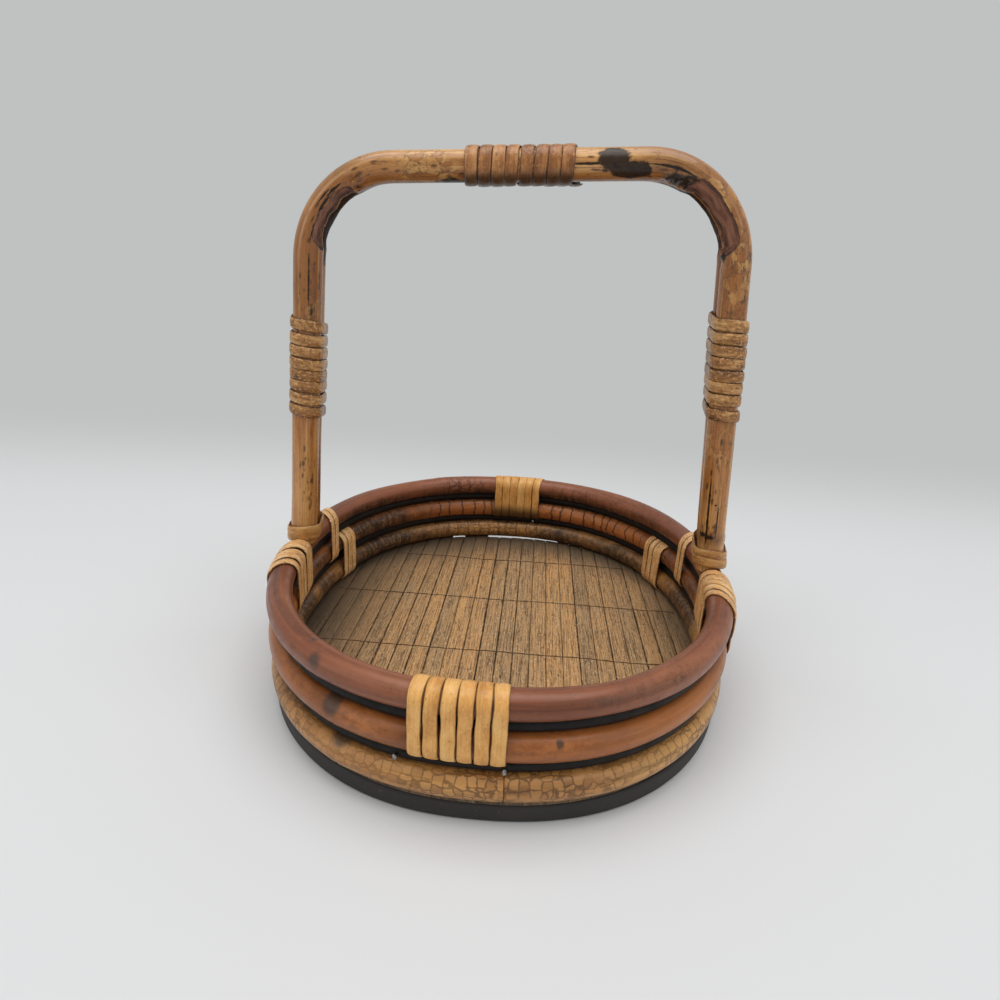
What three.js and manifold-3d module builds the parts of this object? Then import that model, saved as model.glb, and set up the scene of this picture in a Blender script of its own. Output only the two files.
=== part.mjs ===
// An oval handled basket of bent cane. A black board carries a floor of bamboo slats. Three cane hoops stand
// on it with a thin dark filler cane in each gap, two canes side by side arch over as the handle, and flat
// strips of rattan peel are wound round the pairs of canes to hold them.
// Millimetres, +Z up. X runs along the handle, Y from front to back. The origin is the middle of the board's
// underside.
import * as THREE from "three";
import Module from "manifold-3d";

const wasm = await Module();
wasm.setup();

// Space left between pieces that touch on the real basket.
const CLEARANCE = 0.3;

// Hoops: the centre line is an oval with slightly squared ends.
const HOOP_HALF_WIDTH = 101;
const HOOP_HALF_DEPTH = 119.5;
const HOOP_SQUARENESS = 2.24;
const HOOP_RADIUS = 5.4;
const FILLER_RADIUS = 2.5;
const SEAM_GAP = 0.5;
const LOWER_SEAM_X = 9;

// Base board: its edge stands past the hoops' centre line by these reaches.
const BASE_THICKNESS = 7.4;
const BASE_SIDE_REACH = 4;
const BASE_END_REACH = 1;
const BASE_EDGE_ROUND = 1.2;

// Floor mat: slats from front to back on weft threads. The hoops stand on the slat ends at front and back.
const SLAT_COUNT = 24;
const SLAT_GAP = 0.4;
const SLAT_THICKNESS = 2.2;
const SLAT_EDGE_ROUND = 0.6;
const MAT_SIDE_INSET = 5;
const MAT_END_REACH = 0.5;
const SHORT_SLAT_TRIM = 4.5;
const SHORT_SLATS = [8, 11, 12, 13, 14, 15, 16];
const THREAD_COUNT = 4;
const THREAD_RADIUS = 0.4;
const FRONT_THREAD_INSET = 38;
const BACK_THREAD_INSET = 43;

// Handle: the legs lean in from coped feet on the upper hoop, and the bar rises a little to the right.
const HANDLE_RADIUS = 5.4;
const FOOT_INSET = 0.6;
const COPE_DEPTH = 2.5;
const LEG_LEAN = THREE.MathUtils.degToRad(3.9);
const BAR_HEIGHT = 223.2;
const BAR_SLOPE = THREE.MathUtils.degToRad(2.7);
const BEND_RADIUS = 40;

// Scoops: each cane is hollowed along the inside of both bends so that it folds without splitting.
const SCOOP_RADIUS = 12;
const SCOOP_FLOOR = 0.9;
const SCOOP_TURN = THREE.MathUtils.degToRad(14);
const SCOOP_LEG_INSET = 4;
const SCOOP_BAR_INSET = 13;
const SCOOP_BLUNT = 0.08;

// Windings of flat rattan peel.
const STRIP_WIDTH = 4.5;
const STRIP_THICKNESS = 0.9;
const STRIP_GAP = 0.9;
const BINDING_TURNS = 6;
const FRONT_BINDING_X = -6.8;
const BACK_BINDING_X = 3.2;
const GRIP_TURNS = 8;
const LEG_BINDING_TURNS = 8;
const LEFT_LEG_BINDING_HEIGHT = 135;
const RIGHT_LEG_BINDING_HEIGHT = 147.5;
const FOOT_BAND_TURNS = 1;
const FRONT_LASHING_TURNS = 5;
const FRONT_LASHING_SPACE = 1.6;
const REAR_LASHING_TURNS = 2;
const REAR_LASHING_SPACE = 9;
const LEFT_LOWER_TURNS = 3;
const LEFT_LOWER_SPACE = 1.5;
const RIGHT_LOWER_TURNS = 4;
const RIGHT_LOWER_SPACE = 11;

// Nails: brads pin the binding tails, foot nails hold the handle and base nails hold the lower hoop.
const BRAD_RADIUS = 0.6;
const BRAD_LENGTH = 3.6;
const BRAD_HEAD_RADIUS = 1.4;
const BRAD_HEAD_HEIGHT = 0.7;
const BRAD_CROWN_RADIUS = 0.8;
const BRAD_SPACE = 1.2;
const BRAD_DROP = 0.4;
const FRONT_BRAD_INSET = 3;
const BACK_BRAD_INSET = 7.4;
const FOOT_NAIL_RADIUS = 0.9;
const FOOT_NAIL_REACH = 14;
const BASE_NAIL_RADIUS = 1;
const BASE_NAIL_HEAD_RADIUS = 2.2;
const BASE_NAIL_HEAD_HEIGHT = 1;
const BASE_NAIL_REACH = 7;
const NAIL_RECESS = 0.4;
const NAIL_TIP_SHARE = 0.4;

// How finely round forms are faceted.
const OVAL_STEPS = 64;
const CANE_SIDES = 10;
const FILLER_SIDES = 6;
const BEND_STEPS = 10;
const SCOOP_STEPS = 14;
const SMALL_SIDES = 8;
const LOOP_ARC_STEPS = 6;

const UP = new THREE.Vector3(0, 0, 1);
const BACKWARD = new THREE.Vector3(0, 1, 0);

// Heights of the stack, worked out from the board upwards.
const MAT_BOTTOM = BASE_THICKNESS + CLEARANCE;
const MAT_TOP = MAT_BOTTOM + SLAT_THICKNESS;
const HOOP_PITCH = 2 * HOOP_RADIUS + 2 * FILLER_RADIUS + 2 * CLEARANCE;
const LOWER_HOOP_HEIGHT = MAT_TOP + CLEARANCE + HOOP_RADIUS;
const MIDDLE_HOOP_HEIGHT = LOWER_HOOP_HEIGHT + HOOP_PITCH;
const UPPER_HOOP_HEIGHT = MIDDLE_HOOP_HEIGHT + HOOP_PITCH;
const RIM_TOP = UPPER_HOOP_HEIGHT + HOOP_RADIUS;
const CANE_SPACING = 2 * HANDLE_RADIUS + CLEARANCE;
const LEG_HALF_DEPTH = CANE_SPACING / 2 + HANDLE_RADIUS;
const STRIP_PITCH = STRIP_WIDTH + STRIP_GAP;

// Closed solid through a row of rings, each ring turning about the way of travel by the right-hand rule.
function loft(rings) {
  const sides = rings[0].length;
  const index = [];
  for (let ring = 0; ring < rings.length - 1; ring++) {
    for (let side = 0; side < sides; side++) {
      const a = ring * sides + side;
      const b = ring * sides + ((side + 1) % sides);
      index.push(a, b, b + sides, a, b + sides, a + sides);
    }
  }
  const last = (rings.length - 1) * sides;
  for (let side = 1; side < sides - 1; side++) {
    index.push(0, side + 1, side);
    index.push(last, last + side, last + side + 1);
  }
  const positions = rings.flat().flatMap((point) => point.toArray());
  const geometry = new THREE.BufferGeometry();
  geometry.setAttribute("position", new THREE.Float32BufferAttribute(positions, 3));
  geometry.setIndex(index);
  return geometry;
}

// Ring of points round a centre, where u x v is the way of travel.
function ring(centre, u, v, radius, sides) {
  return Array.from({ length: sides }, (_, side) => {
    const angle = (2 * Math.PI * side) / sides;
    const point = centre.clone().addScaledVector(u, radius * Math.cos(angle));
    return point.addScaledVector(v, radius * Math.sin(angle));
  });
}

// Solid of revolution: pairs of radius and distance along the axis from the base point.
function turned(profile, base, axis) {
  const u = new THREE.Vector3(axis.y, axis.z, axis.x).cross(axis).normalize();
  const v = axis.clone().cross(u);
  const rings = profile.map(([radius, distance]) =>
    ring(base.clone().addScaledVector(axis, distance), u, v, radius, SMALL_SIDES),
  );
  return loft(rings);
}

function solidOf(geometry) {
  return new wasm.Manifold(
    new wasm.Mesh({
      numProp: 3,
      vertProperties: new Float32Array(geometry.getAttribute("position").array),
      triVerts: new Uint32Array(geometry.getIndex().array),
    }),
  );
}

// The geometry with every tool cut out of it.
function cut(geometry, tools) {
  const body = tools.reduce((rest, tool) => rest.subtract(solidOf(tool)), solidOf(geometry));
  const mesh = body.getMesh();
  const result = new THREE.BufferGeometry();
  result.setAttribute("position", new THREE.BufferAttribute(mesh.vertProperties, 3));
  result.setIndex(new THREE.BufferAttribute(mesh.triVerts, 1));
  return result;
}

// Half depth of an oval at a distance x from its middle.
function ovalDepthAt(x, halfWidth, halfDepth) {
  const share = Math.min(Math.abs(x) / halfWidth, 1);
  return halfDepth * (1 - share ** HOOP_SQUARENESS) ** (1 / HOOP_SQUARENESS);
}

function ovalPoint(angle, halfWidth, halfDepth, height) {
  const across = Math.abs(Math.cos(angle)) / halfWidth;
  const along = Math.abs(Math.sin(angle)) / halfDepth;
  const reach = (across ** HOOP_SQUARENESS + along ** HOOP_SQUARENESS) ** (-1 / HOOP_SQUARENESS);
  return new THREE.Vector3(reach * Math.cos(angle), reach * Math.sin(angle), height);
}

// Centre line shared by the hoops, run from the right side by way of the back.
class HoopLine extends THREE.Curve {
  getPoint(share) {
    return ovalPoint(2 * Math.PI * share, HOOP_HALF_WIDTH, HOOP_HALF_DEPTH, 0);
  }
}
const hoopLine = new HoopLine();
hoopLine.arcLengthDivisions = 800;
const HOOP_LENGTH = hoopLine.getLength();

// Distances along the hoops of the right side, the back, the left side and the front.
const RIGHT = 0;
const BACK = HOOP_LENGTH / 4;
const LEFT = HOOP_LENGTH / 2;
const FRONT = (3 * HOOP_LENGTH) / 4;

// Frame at a distance along the hoops: first points out of the basket, second up and along down the cane.
function hoopFrame(distance, height) {
  const share = THREE.MathUtils.euclideanModulo(distance / HOOP_LENGTH, 1);
  const origin = hoopLine.getPointAt(share).setZ(height);
  const along = hoopLine.getTangentAt(share);
  return { origin, along, first: along.clone().cross(UP), second: UP };
}

// Round cane along the hoops' line between two distances.
function hoopCane(from, to, height, radius, sides, steps) {
  const rings = Array.from({ length: steps + 1 }, (_, step) => {
    const frame = hoopFrame(THREE.MathUtils.lerp(from, to, step / steps), height);
    return ring(frame.origin, frame.second, frame.first, radius, sides);
  });
  return loft(rings);
}

// One bent cane that closes on itself with a butt seam.
function closedHoop(seam, height, radius, sides) {
  return hoopCane(seam + SEAM_GAP / 2, seam + HOOP_LENGTH - SEAM_GAP / 2, height, radius, sides, OVAL_STEPS);
}

// Line of the handle in the X-Z plane: up the left leg, along the bar and down the right leg.
const FOOT_HEIGHT = RIM_TOP - COPE_DEPTH;
const FOOT_X = HOOP_HALF_WIDTH - FOOT_INSET;
function legTop(side) {
  const lean = Math.tan(LEG_LEAN);
  const rise = Math.tan(BAR_SLOPE) * side;
  const height = (BAR_HEIGHT - FOOT_HEIGHT + rise * FOOT_X) / (1 + rise * lean);
  return new THREE.Vector2(side * (FOOT_X - height * lean), FOOT_HEIGHT + height);
}
function bendCentre(side, turn) {
  const inset = BEND_RADIUS * Math.tan(turn / 2);
  const down = new THREE.Vector2(side * Math.sin(LEG_LEAN), -Math.cos(LEG_LEAN));
  const inward = new THREE.Vector2(-side * Math.cos(LEG_LEAN), -Math.sin(LEG_LEAN));
  return legTop(side).addScaledVector(down, inset).addScaledVector(inward, BEND_RADIUS);
}
const LEFT_TURN = Math.PI / 2 - LEG_LEAN - BAR_SLOPE;
const RIGHT_TURN = Math.PI / 2 - LEG_LEAN + BAR_SLOPE;
const leftBend = bendCentre(-1, LEFT_TURN);
const rightBend = bendCentre(1, RIGHT_TURN);
const handleLine = new THREE.Path();
handleLine.moveTo(-FOOT_X, FOOT_HEIGHT);
handleLine.lineTo(
  leftBend.x + BEND_RADIUS * Math.cos(Math.PI - LEG_LEAN),
  leftBend.y + BEND_RADIUS * Math.sin(Math.PI - LEG_LEAN),
);
handleLine.absarc(leftBend.x, leftBend.y, BEND_RADIUS, Math.PI - LEG_LEAN, Math.PI / 2 + BAR_SLOPE, true);
handleLine.absarc(rightBend.x, rightBend.y, BEND_RADIUS, Math.PI / 2 + BAR_SLOPE, LEG_LEAN, true);
handleLine.lineTo(FOOT_X, FOOT_HEIGHT);
const HANDLE_LENGTH = handleLine.getLength();

// Distances along the handle where its bends begin and end.
const LEFT_BEND_START = handleLine.curves[0].getLength();
const LEFT_BEND_END = LEFT_BEND_START + BEND_RADIUS * LEFT_TURN;
const RIGHT_BEND_START = LEFT_BEND_END + handleLine.curves[2].getLength();
const RIGHT_BEND_END = RIGHT_BEND_START + BEND_RADIUS * RIGHT_TURN;

// Frame at a distance along the handle: first points out of the arch and second to the back.
function handleFrame(distance) {
  const share = THREE.MathUtils.clamp(distance / HANDLE_LENGTH, 0, 1);
  const point = handleLine.getPoint(share);
  const tangent = handleLine.getTangent(share);
  return {
    origin: new THREE.Vector3(point.x, 0, point.y),
    along: new THREE.Vector3(tangent.x, 0, tangent.y),
    first: new THREE.Vector3(-tangent.y, 0, tangent.x),
    second: BACKWARD,
  };
}

// Distances from one end of the handle's line to the other, with steps only where it bends.
function handleStations() {
  const bend = (from, to) =>
    Array.from({ length: BEND_STEPS + 1 }, (_, step) => THREE.MathUtils.lerp(from, to, step / BEND_STEPS));
  return [
    0,
    ...bend(LEFT_BEND_START, LEFT_BEND_END),
    ...bend(RIGHT_BEND_START, RIGHT_BEND_END),
    HANDLE_LENGTH,
  ];
}

// Gouge for the inside of one bend: a bar that tapers to its ends, turned from the inside towards one face.
// Its deepest cut stops SCOOP_FLOOR short of the cane's middle.
function scoop(from, to, caneY, face) {
  const rings = Array.from({ length: SCOOP_STEPS + 1 }, (_, step) => {
    const share = step / SCOOP_STEPS;
    const frame = handleFrame(THREE.MathUtils.lerp(from, to, share));
    const taper = Math.sin(Math.PI * THREE.MathUtils.lerp(SCOOP_BLUNT, 1 - SCOOP_BLUNT, share));
    const centre = frame.origin.clone().setY(caneY);
    const offset = SCOOP_RADIUS + SCOOP_FLOOR;
    centre.addScaledVector(frame.first, -offset * Math.cos(SCOOP_TURN));
    centre.addScaledVector(frame.second, face * offset * Math.sin(SCOOP_TURN));
    return ring(centre, frame.second, frame.first, SCOOP_RADIUS * Math.sqrt(taper), CANE_SIDES);
  });
  return loft(rings);
}

// One handle cane: -1 is the front one and 1 the rear one. Its feet are coped over the upper hoop.
function handleCane(face) {
  const caneY = (face * CANE_SPACING) / 2;
  const rings = handleStations().map((distance) => {
    const frame = handleFrame(distance);
    return ring(frame.origin.clone().setY(caneY), frame.second, frame.first, HANDLE_RADIUS, CANE_SIDES);
  });
  const cope = (side) =>
    hoopCane(
      side - 2 * LEG_HALF_DEPTH,
      side + 2 * LEG_HALF_DEPTH,
      UPPER_HOOP_HEIGHT,
      HOOP_RADIUS + CLEARANCE,
      2 * CANE_SIDES,
      SMALL_SIDES,
    );
  const nailHoles = [-1, 1].map((side) => footNail(side, face, CLEARANCE));
  return cut(loft(rings), [
    scoop(LEFT_BEND_START + SCOOP_LEG_INSET, LEFT_BEND_END - SCOOP_BAR_INSET, caneY, face),
    scoop(RIGHT_BEND_START + SCOOP_BAR_INSET, RIGHT_BEND_END - SCOOP_LEG_INSET, caneY, face),
    cope(LEFT),
    cope(RIGHT),
    ...nailHoles,
  ]);
}

// Nail up through the upper hoop into a handle foot. A spare makes the hole that the nail sits in.
function footNail(side, face, spare) {
  const bottom = UPPER_HOOP_HEIGHT - HOOP_RADIUS + NAIL_RECESS;
  const length = 2 * HOOP_RADIUS + FOOT_NAIL_REACH;
  const base = new THREE.Vector3(side * FOOT_X, (face * CANE_SPACING) / 2, bottom);
  const shank = FOOT_NAIL_RADIUS + spare;
  const start = spare ? -HOOP_RADIUS : 0;
  return turned(
    [
      [shank, start],
      [shank, length - FOOT_NAIL_RADIUS],
      [shank * NAIL_TIP_SHARE, length + spare],
    ],
    base,
    UP,
  );
}

// Nail up through the board into the lower hoop, with its head let into the underside.
function baseNail(distance, spare) {
  const frame = hoopFrame(distance, NAIL_RECESS);
  const length = LOWER_HOOP_HEIGHT - HOOP_RADIUS + BASE_NAIL_REACH - NAIL_RECESS;
  const head = BASE_NAIL_HEAD_RADIUS + spare;
  const shank = BASE_NAIL_RADIUS + spare;
  return turned(
    [
      [head, spare ? -2 * NAIL_RECESS : 0],
      [head, BASE_NAIL_HEAD_HEIGHT + spare],
      [shank, BASE_NAIL_HEAD_HEIGHT + spare],
      [shank, length - BASE_NAIL_RADIUS],
      [shank * NAIL_TIP_SHARE, length + spare],
    ],
    frame.origin,
    UP,
  );
}

// Brad that pins a binding's tail to the lower filler cane: 1 is driven from outside and -1 from inside.
const LOWER_FILLER_HEIGHT = (LOWER_HOOP_HEIGHT + MIDDLE_HOOP_HEIGHT) / 2;
const UPPER_FILLER_HEIGHT = (MIDDLE_HOOP_HEIGHT + UPPER_HOOP_HEIGHT) / 2;
function brad(distance, face, spare) {
  const frame = hoopFrame(distance, LOWER_FILLER_HEIGHT - BRAD_DROP);
  const headFace = FILLER_RADIUS + CLEARANCE;
  const base = frame.origin.addScaledVector(frame.first, face * headFace);
  const axis = frame.first.clone().multiplyScalar(-face);
  const shank = BRAD_RADIUS + spare;
  const head = spare ? shank : BRAD_HEAD_RADIUS;
  return turned(
    [
      [spare ? shank : BRAD_CROWN_RADIUS, -BRAD_HEAD_HEIGHT],
      [head, -BRAD_HEAD_HEIGHT / 2],
      [head, 0],
      [shank, 0],
      [shank, BRAD_LENGTH - BRAD_RADIUS],
      [shank * NAIL_TIP_SHARE, BRAD_LENGTH + spare],
    ],
    base,
    axis,
  );
}

// Outline of one loop round two canes whose centres stand apart along the second axis: two half circles
// joined by straight runs. Each stop has its place, its outward direction and its share of the way round.
function loopStops(radius, spacing, startInside) {
  const stops = [];
  for (const [centre, start] of [[spacing / 2, 0], [-spacing / 2, Math.PI]]) {
    for (let step = 0; step <= LOOP_ARC_STEPS; step++) {
      const angle = start + (Math.PI * step) / LOOP_ARC_STEPS;
      const outward = new THREE.Vector2(Math.cos(angle), Math.sin(angle));
      const place = outward.clone().multiplyScalar(radius).add(new THREE.Vector2(0, centre));
      stops.push({ outward, place });
    }
  }
  const first = startInside ? LOOP_ARC_STEPS + 1 : 0;
  const ordered = [...stops.slice(first), ...stops.slice(0, first)];
  const steps = ordered.map((stop, i) => stop.place.distanceTo(ordered[(i + 1) % ordered.length].place));
  const whole = steps.reduce((sum, step) => sum + step, 0);
  let gone = 0;
  return ordered.map((stop, i) => {
    const share = gone / whole;
    gone += steps[i];
    return { ...stop, share };
  });
}

// Least distance between points of a winding that lie half a turn or more apart along the strip.
function leastSelfGap(rings, ringsPerTurn) {
  let least = Infinity;
  rings.forEach((near, i) => {
    for (const far of rings.slice(i + Math.floor(ringsPerTurn / 2))) {
      for (const a of near) {
        for (const b of far) {
          least = Math.min(least, a.distanceTo(b));
        }
      }
    }
  });
  return least;
}

// One unbroken strip wound round two canes. The frame gives the middle of the pair at a distance along them.
function winding(name, { middle, turns, frameAt, caneRadius, spacing, startInside }) {
  const radius = stripInside(caneRadius) + STRIP_THICKNESS / 2;
  const stops = loopStops(radius, spacing, startInside);
  const start = middle - (turns * STRIP_PITCH) / 2;
  const rings = [];
  for (let stop = 0; stop <= turns * stops.length; stop++) {
    const { place, outward, share } = stops[stop % stops.length];
    const frame = frameAt(start + STRIP_PITCH * (Math.floor(stop / stops.length) + share));
    const inPlane = (v) => frame.first.clone().multiplyScalar(v.x).addScaledVector(frame.second, v.y);
    const centre = frame.origin.clone().add(inPlane(place));
    const normal = inPlane(outward);
    const corner = (out, side) =>
      centre
        .clone()
        .addScaledVector(normal, (out * STRIP_THICKNESS) / 2)
        .addScaledVector(frame.along, (side * STRIP_WIDTH) / 2);
    rings.push([corner(-1, -1), corner(1, -1), corner(1, 1), corner(-1, 1)]);
  }
  console.log(`${name}: least gap to itself ${leastSelfGap(rings, stops.length).toFixed(2)} mm`);
  return loft(rings);
}

// Radius at the inner corners of a winding, so that the flats between them clear the cane.
function stripInside(caneRadius) {
  return (caneRadius + CLEARANCE) / Math.cos(Math.PI / LOOP_ARC_STEPS / 2);
}

// Length of cane that a winding covers, with its clearance at both ends.
function windingLength(turns) {
  return turns * STRIP_PITCH + STRIP_WIDTH + 2 * CLEARANCE;
}

// Windings on the hoops, each round two of them. The upper pair is the upper and middle hoops.
const lashingMiddle = (start, turns) => start + windingLength(turns) / 2;
const FRONT_LASHING = lashingMiddle(LEG_HALF_DEPTH + FRONT_LASHING_SPACE, FRONT_LASHING_TURNS);
const REAR_LASHING = lashingMiddle(LEG_HALF_DEPTH + REAR_LASHING_SPACE, REAR_LASHING_TURNS);
const REAR_LASHING_END = REAR_LASHING + windingLength(REAR_LASHING_TURNS) / 2;
const LEFT_LOWER = lashingMiddle(REAR_LASHING_END + LEFT_LOWER_SPACE, LEFT_LOWER_TURNS);
const RIGHT_LOWER = lashingMiddle(REAR_LASHING_END + RIGHT_LOWER_SPACE, RIGHT_LOWER_TURNS);
const upperPair = (distance) => hoopFrame(distance, UPPER_FILLER_HEIGHT);
const lowerPair = (distance) => hoopFrame(distance, LOWER_FILLER_HEIGHT);
const onHoops = { caneRadius: HOOP_RADIUS, spacing: HOOP_PITCH, startInside: false };
const upperWindings = {
  front_binding: { middle: FRONT + FRONT_BINDING_X, turns: BINDING_TURNS, startInside: true },
  back_binding: { middle: BACK - BACK_BINDING_X, turns: BINDING_TURNS },
  left_front_lashing: { middle: LEFT + FRONT_LASHING, turns: FRONT_LASHING_TURNS },
  right_front_lashing: { middle: RIGHT - FRONT_LASHING, turns: FRONT_LASHING_TURNS },
  left_rear_lashing: { middle: LEFT - REAR_LASHING, turns: REAR_LASHING_TURNS },
  right_rear_lashing: { middle: RIGHT + REAR_LASHING, turns: REAR_LASHING_TURNS },
};
const lowerWindings = {
  left_lower_lashing: { middle: LEFT - LEFT_LOWER, turns: LEFT_LOWER_TURNS },
  right_lower_lashing: { middle: RIGHT + RIGHT_LOWER, turns: RIGHT_LOWER_TURNS },
};

// Windings on the handle, each round both canes.
const alongLeg = (height) => (height - FOOT_HEIGHT) / Math.cos(LEG_LEAN);
const FOOT_BAND_HEIGHT = RIM_TOP + CLEARANCE + windingLength(FOOT_BAND_TURNS) / 2;
const GRIP_MIDDLE = (LEFT_BEND_END + RIGHT_BEND_START) / 2;
const onHandle = {
  frameAt: handleFrame,
  caneRadius: HANDLE_RADIUS,
  spacing: CANE_SPACING,
  startInside: false,
};
const handleWindings = {
  grip_binding: { middle: GRIP_MIDDLE, turns: GRIP_TURNS, startInside: true },
  left_leg_binding: { middle: alongLeg(LEFT_LEG_BINDING_HEIGHT), turns: LEG_BINDING_TURNS },
  right_leg_binding: {
    middle: HANDLE_LENGTH - alongLeg(RIGHT_LEG_BINDING_HEIGHT),
    turns: LEG_BINDING_TURNS,
  },
  left_foot_band: { middle: alongLeg(FOOT_BAND_HEIGHT), turns: FOOT_BAND_TURNS },
  right_foot_band: { middle: HANDLE_LENGTH - alongLeg(FOOT_BAND_HEIGHT), turns: FOOT_BAND_TURNS },
};

// Room in a filler cane for the strips that pass between it and the middle hoop.
function stripRelief({ middle, turns }) {
  const half = windingLength(turns) / 2;
  const sides = 2 * CANE_SIDES;
  const radius = stripInside(HOOP_RADIUS) + STRIP_THICKNESS + CLEARANCE;
  const corners = radius / Math.cos(Math.PI / sides);
  return hoopCane(middle - half, middle + half, MIDDLE_HOOP_HEIGHT, corners, sides, turns);
}

// The front binding starts at a brad just past its left end. Brads under the other ends hold the tails.
const BINDING_REACH = windingLength(BINDING_TURNS) / 2;
const FRONT_BRAD_REACH = BINDING_REACH + BRAD_SPACE + BRAD_HEAD_RADIUS;
const brads = {
  binding_brad_front_left: [FRONT + FRONT_BINDING_X - FRONT_BRAD_REACH, 1],
  binding_brad_front_right: [FRONT + FRONT_BINDING_X + BINDING_REACH - FRONT_BRAD_INSET, 1],
  binding_brad_back: [BACK - BACK_BINDING_X - BINDING_REACH + BACK_BRAD_INSET, -1],
};

const baseNails = {
  base_nail_left_front: LEFT + FRONT_LASHING,
  base_nail_left_rear: LEFT - REAR_LASHING,
  base_nail_right_front: RIGHT - FRONT_LASHING,
  base_nail_right_rear: RIGHT + REAR_LASHING,
};

const footNails = {
  foot_nail_left_front: [-1, -1],
  foot_nail_left_rear: [-1, 1],
  foot_nail_right_front: [1, -1],
  foot_nail_right_rear: [1, 1],
};

// Board with its top and bottom edges rounded over.
function baseBoard() {
  const round = (height, lift) =>
    [1, 0.5, 0].map((share) => {
      const angle = (share * Math.PI) / 2;
      const inset = BASE_EDGE_ROUND * (1 - Math.cos(angle));
      return [inset, height + lift * BASE_EDGE_ROUND * (1 - Math.sin(angle))];
    });
  const levels = [...round(0, 1), ...round(BASE_THICKNESS, -1).reverse()];
  const rings = levels.map(([inset, height]) =>
    Array.from({ length: OVAL_STEPS }, (_, step) =>
      ovalPoint(
        (2 * Math.PI * step) / OVAL_STEPS,
        HOOP_HALF_WIDTH + BASE_SIDE_REACH - inset,
        HOOP_HALF_DEPTH + BASE_END_REACH - inset,
        height,
      ),
    ),
  );
  const holes = Object.values(baseNails).map((distance) => baseNail(distance, CLEARANCE));
  return cut(loft(rings), holes);
}

// One slat with eased top edges, its ends cut to the oval. Short ones stop inside the back of the hoops.
const MAT_HALF_WIDTH = HOOP_HALF_WIDTH - MAT_SIDE_INSET;
const MAT_HALF_DEPTH = HOOP_HALF_DEPTH + MAT_END_REACH;
const SLAT_PITCH = (2 * MAT_HALF_WIDTH) / SLAT_COUNT;
function floorSlat(number) {
  const middle = (number - (SLAT_COUNT + 1) / 2) * SLAT_PITCH;
  const half = (SLAT_PITCH - SLAT_GAP) / 2;
  const shoulder = SLAT_THICKNESS - SLAT_EDGE_ROUND;
  const section = [
    [-half, 0],
    [-half, shoulder],
    [SLAT_EDGE_ROUND - half, SLAT_THICKNESS],
    [half - SLAT_EDGE_ROUND, SLAT_THICKNESS],
    [half, shoulder],
    [half, 0],
  ];
  const trim = SHORT_SLATS.includes(number) ? SHORT_SLAT_TRIM : 0;
  const end = (face) =>
    section.map(([x, z]) => {
      const depth = ovalDepthAt(middle + x, MAT_HALF_WIDTH, MAT_HALF_DEPTH);
      return new THREE.Vector3(middle + x, face > 0 ? depth - trim : -depth, MAT_BOTTOM + z);
    });
  return loft([end(-1), end(1)]);
}

// Thread across the slats, ending where the lower hoop begins. The threads share out the mat's depth.
function weftThread(number) {
  const frontY = FRONT_THREAD_INSET - MAT_HALF_DEPTH;
  const backY = MAT_HALF_DEPTH - BACK_THREAD_INSET;
  const y = THREE.MathUtils.lerp(frontY, backY, (number - 1) / (THREAD_COUNT - 1));
  const inset = HOOP_RADIUS + CLEARANCE;
  const innerReach = ovalDepthAt(y, HOOP_HALF_DEPTH - inset, HOOP_HALF_WIDTH - inset);
  const matReach = ovalDepthAt(y, MAT_HALF_DEPTH, MAT_HALF_WIDTH);
  const reach = Math.min(innerReach, matReach);
  const height = MAT_TOP + CLEARANCE + THREAD_RADIUS;
  const rings = [-reach, reach].map((x) =>
    ring(new THREE.Vector3(x, y, height), BACKWARD, UP, THREAD_RADIUS, FILLER_SIDES),
  );
  return loft(rings);
}

function piece(name, geometry, color, roughness, metalness = 0) {
  geometry.computeVertexNormals();
  const material = new THREE.MeshStandardMaterial({ color, roughness, metalness });
  const mesh = new THREE.Mesh(geometry, material);
  mesh.name = name;
  return mesh;
}

function baseGroup() {
  const group = new THREE.Group();
  group.add(piece("base_board", baseBoard(), 0x2b2927, 0.75));
  for (const [name, distance] of Object.entries(baseNails)) {
    group.add(piece(name, baseNail(distance, 0), 0x8d8f90, 0.4, 1));
  }
  return group;
}

function floorGroup() {
  const group = new THREE.Group();
  for (let number = 1; number <= SLAT_COUNT; number++) {
    const name = `floor_slat_${String(number).padStart(2, "0")}`;
    group.add(piece(name, floorSlat(number), 0x96785a, 0.7));
  }
  for (let number = 1; number <= THREAD_COUNT; number++) {
    group.add(piece(`weft_thread_${number}`, weftThread(number), 0x3a3028, 0.9));
  }
  return group;
}

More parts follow.
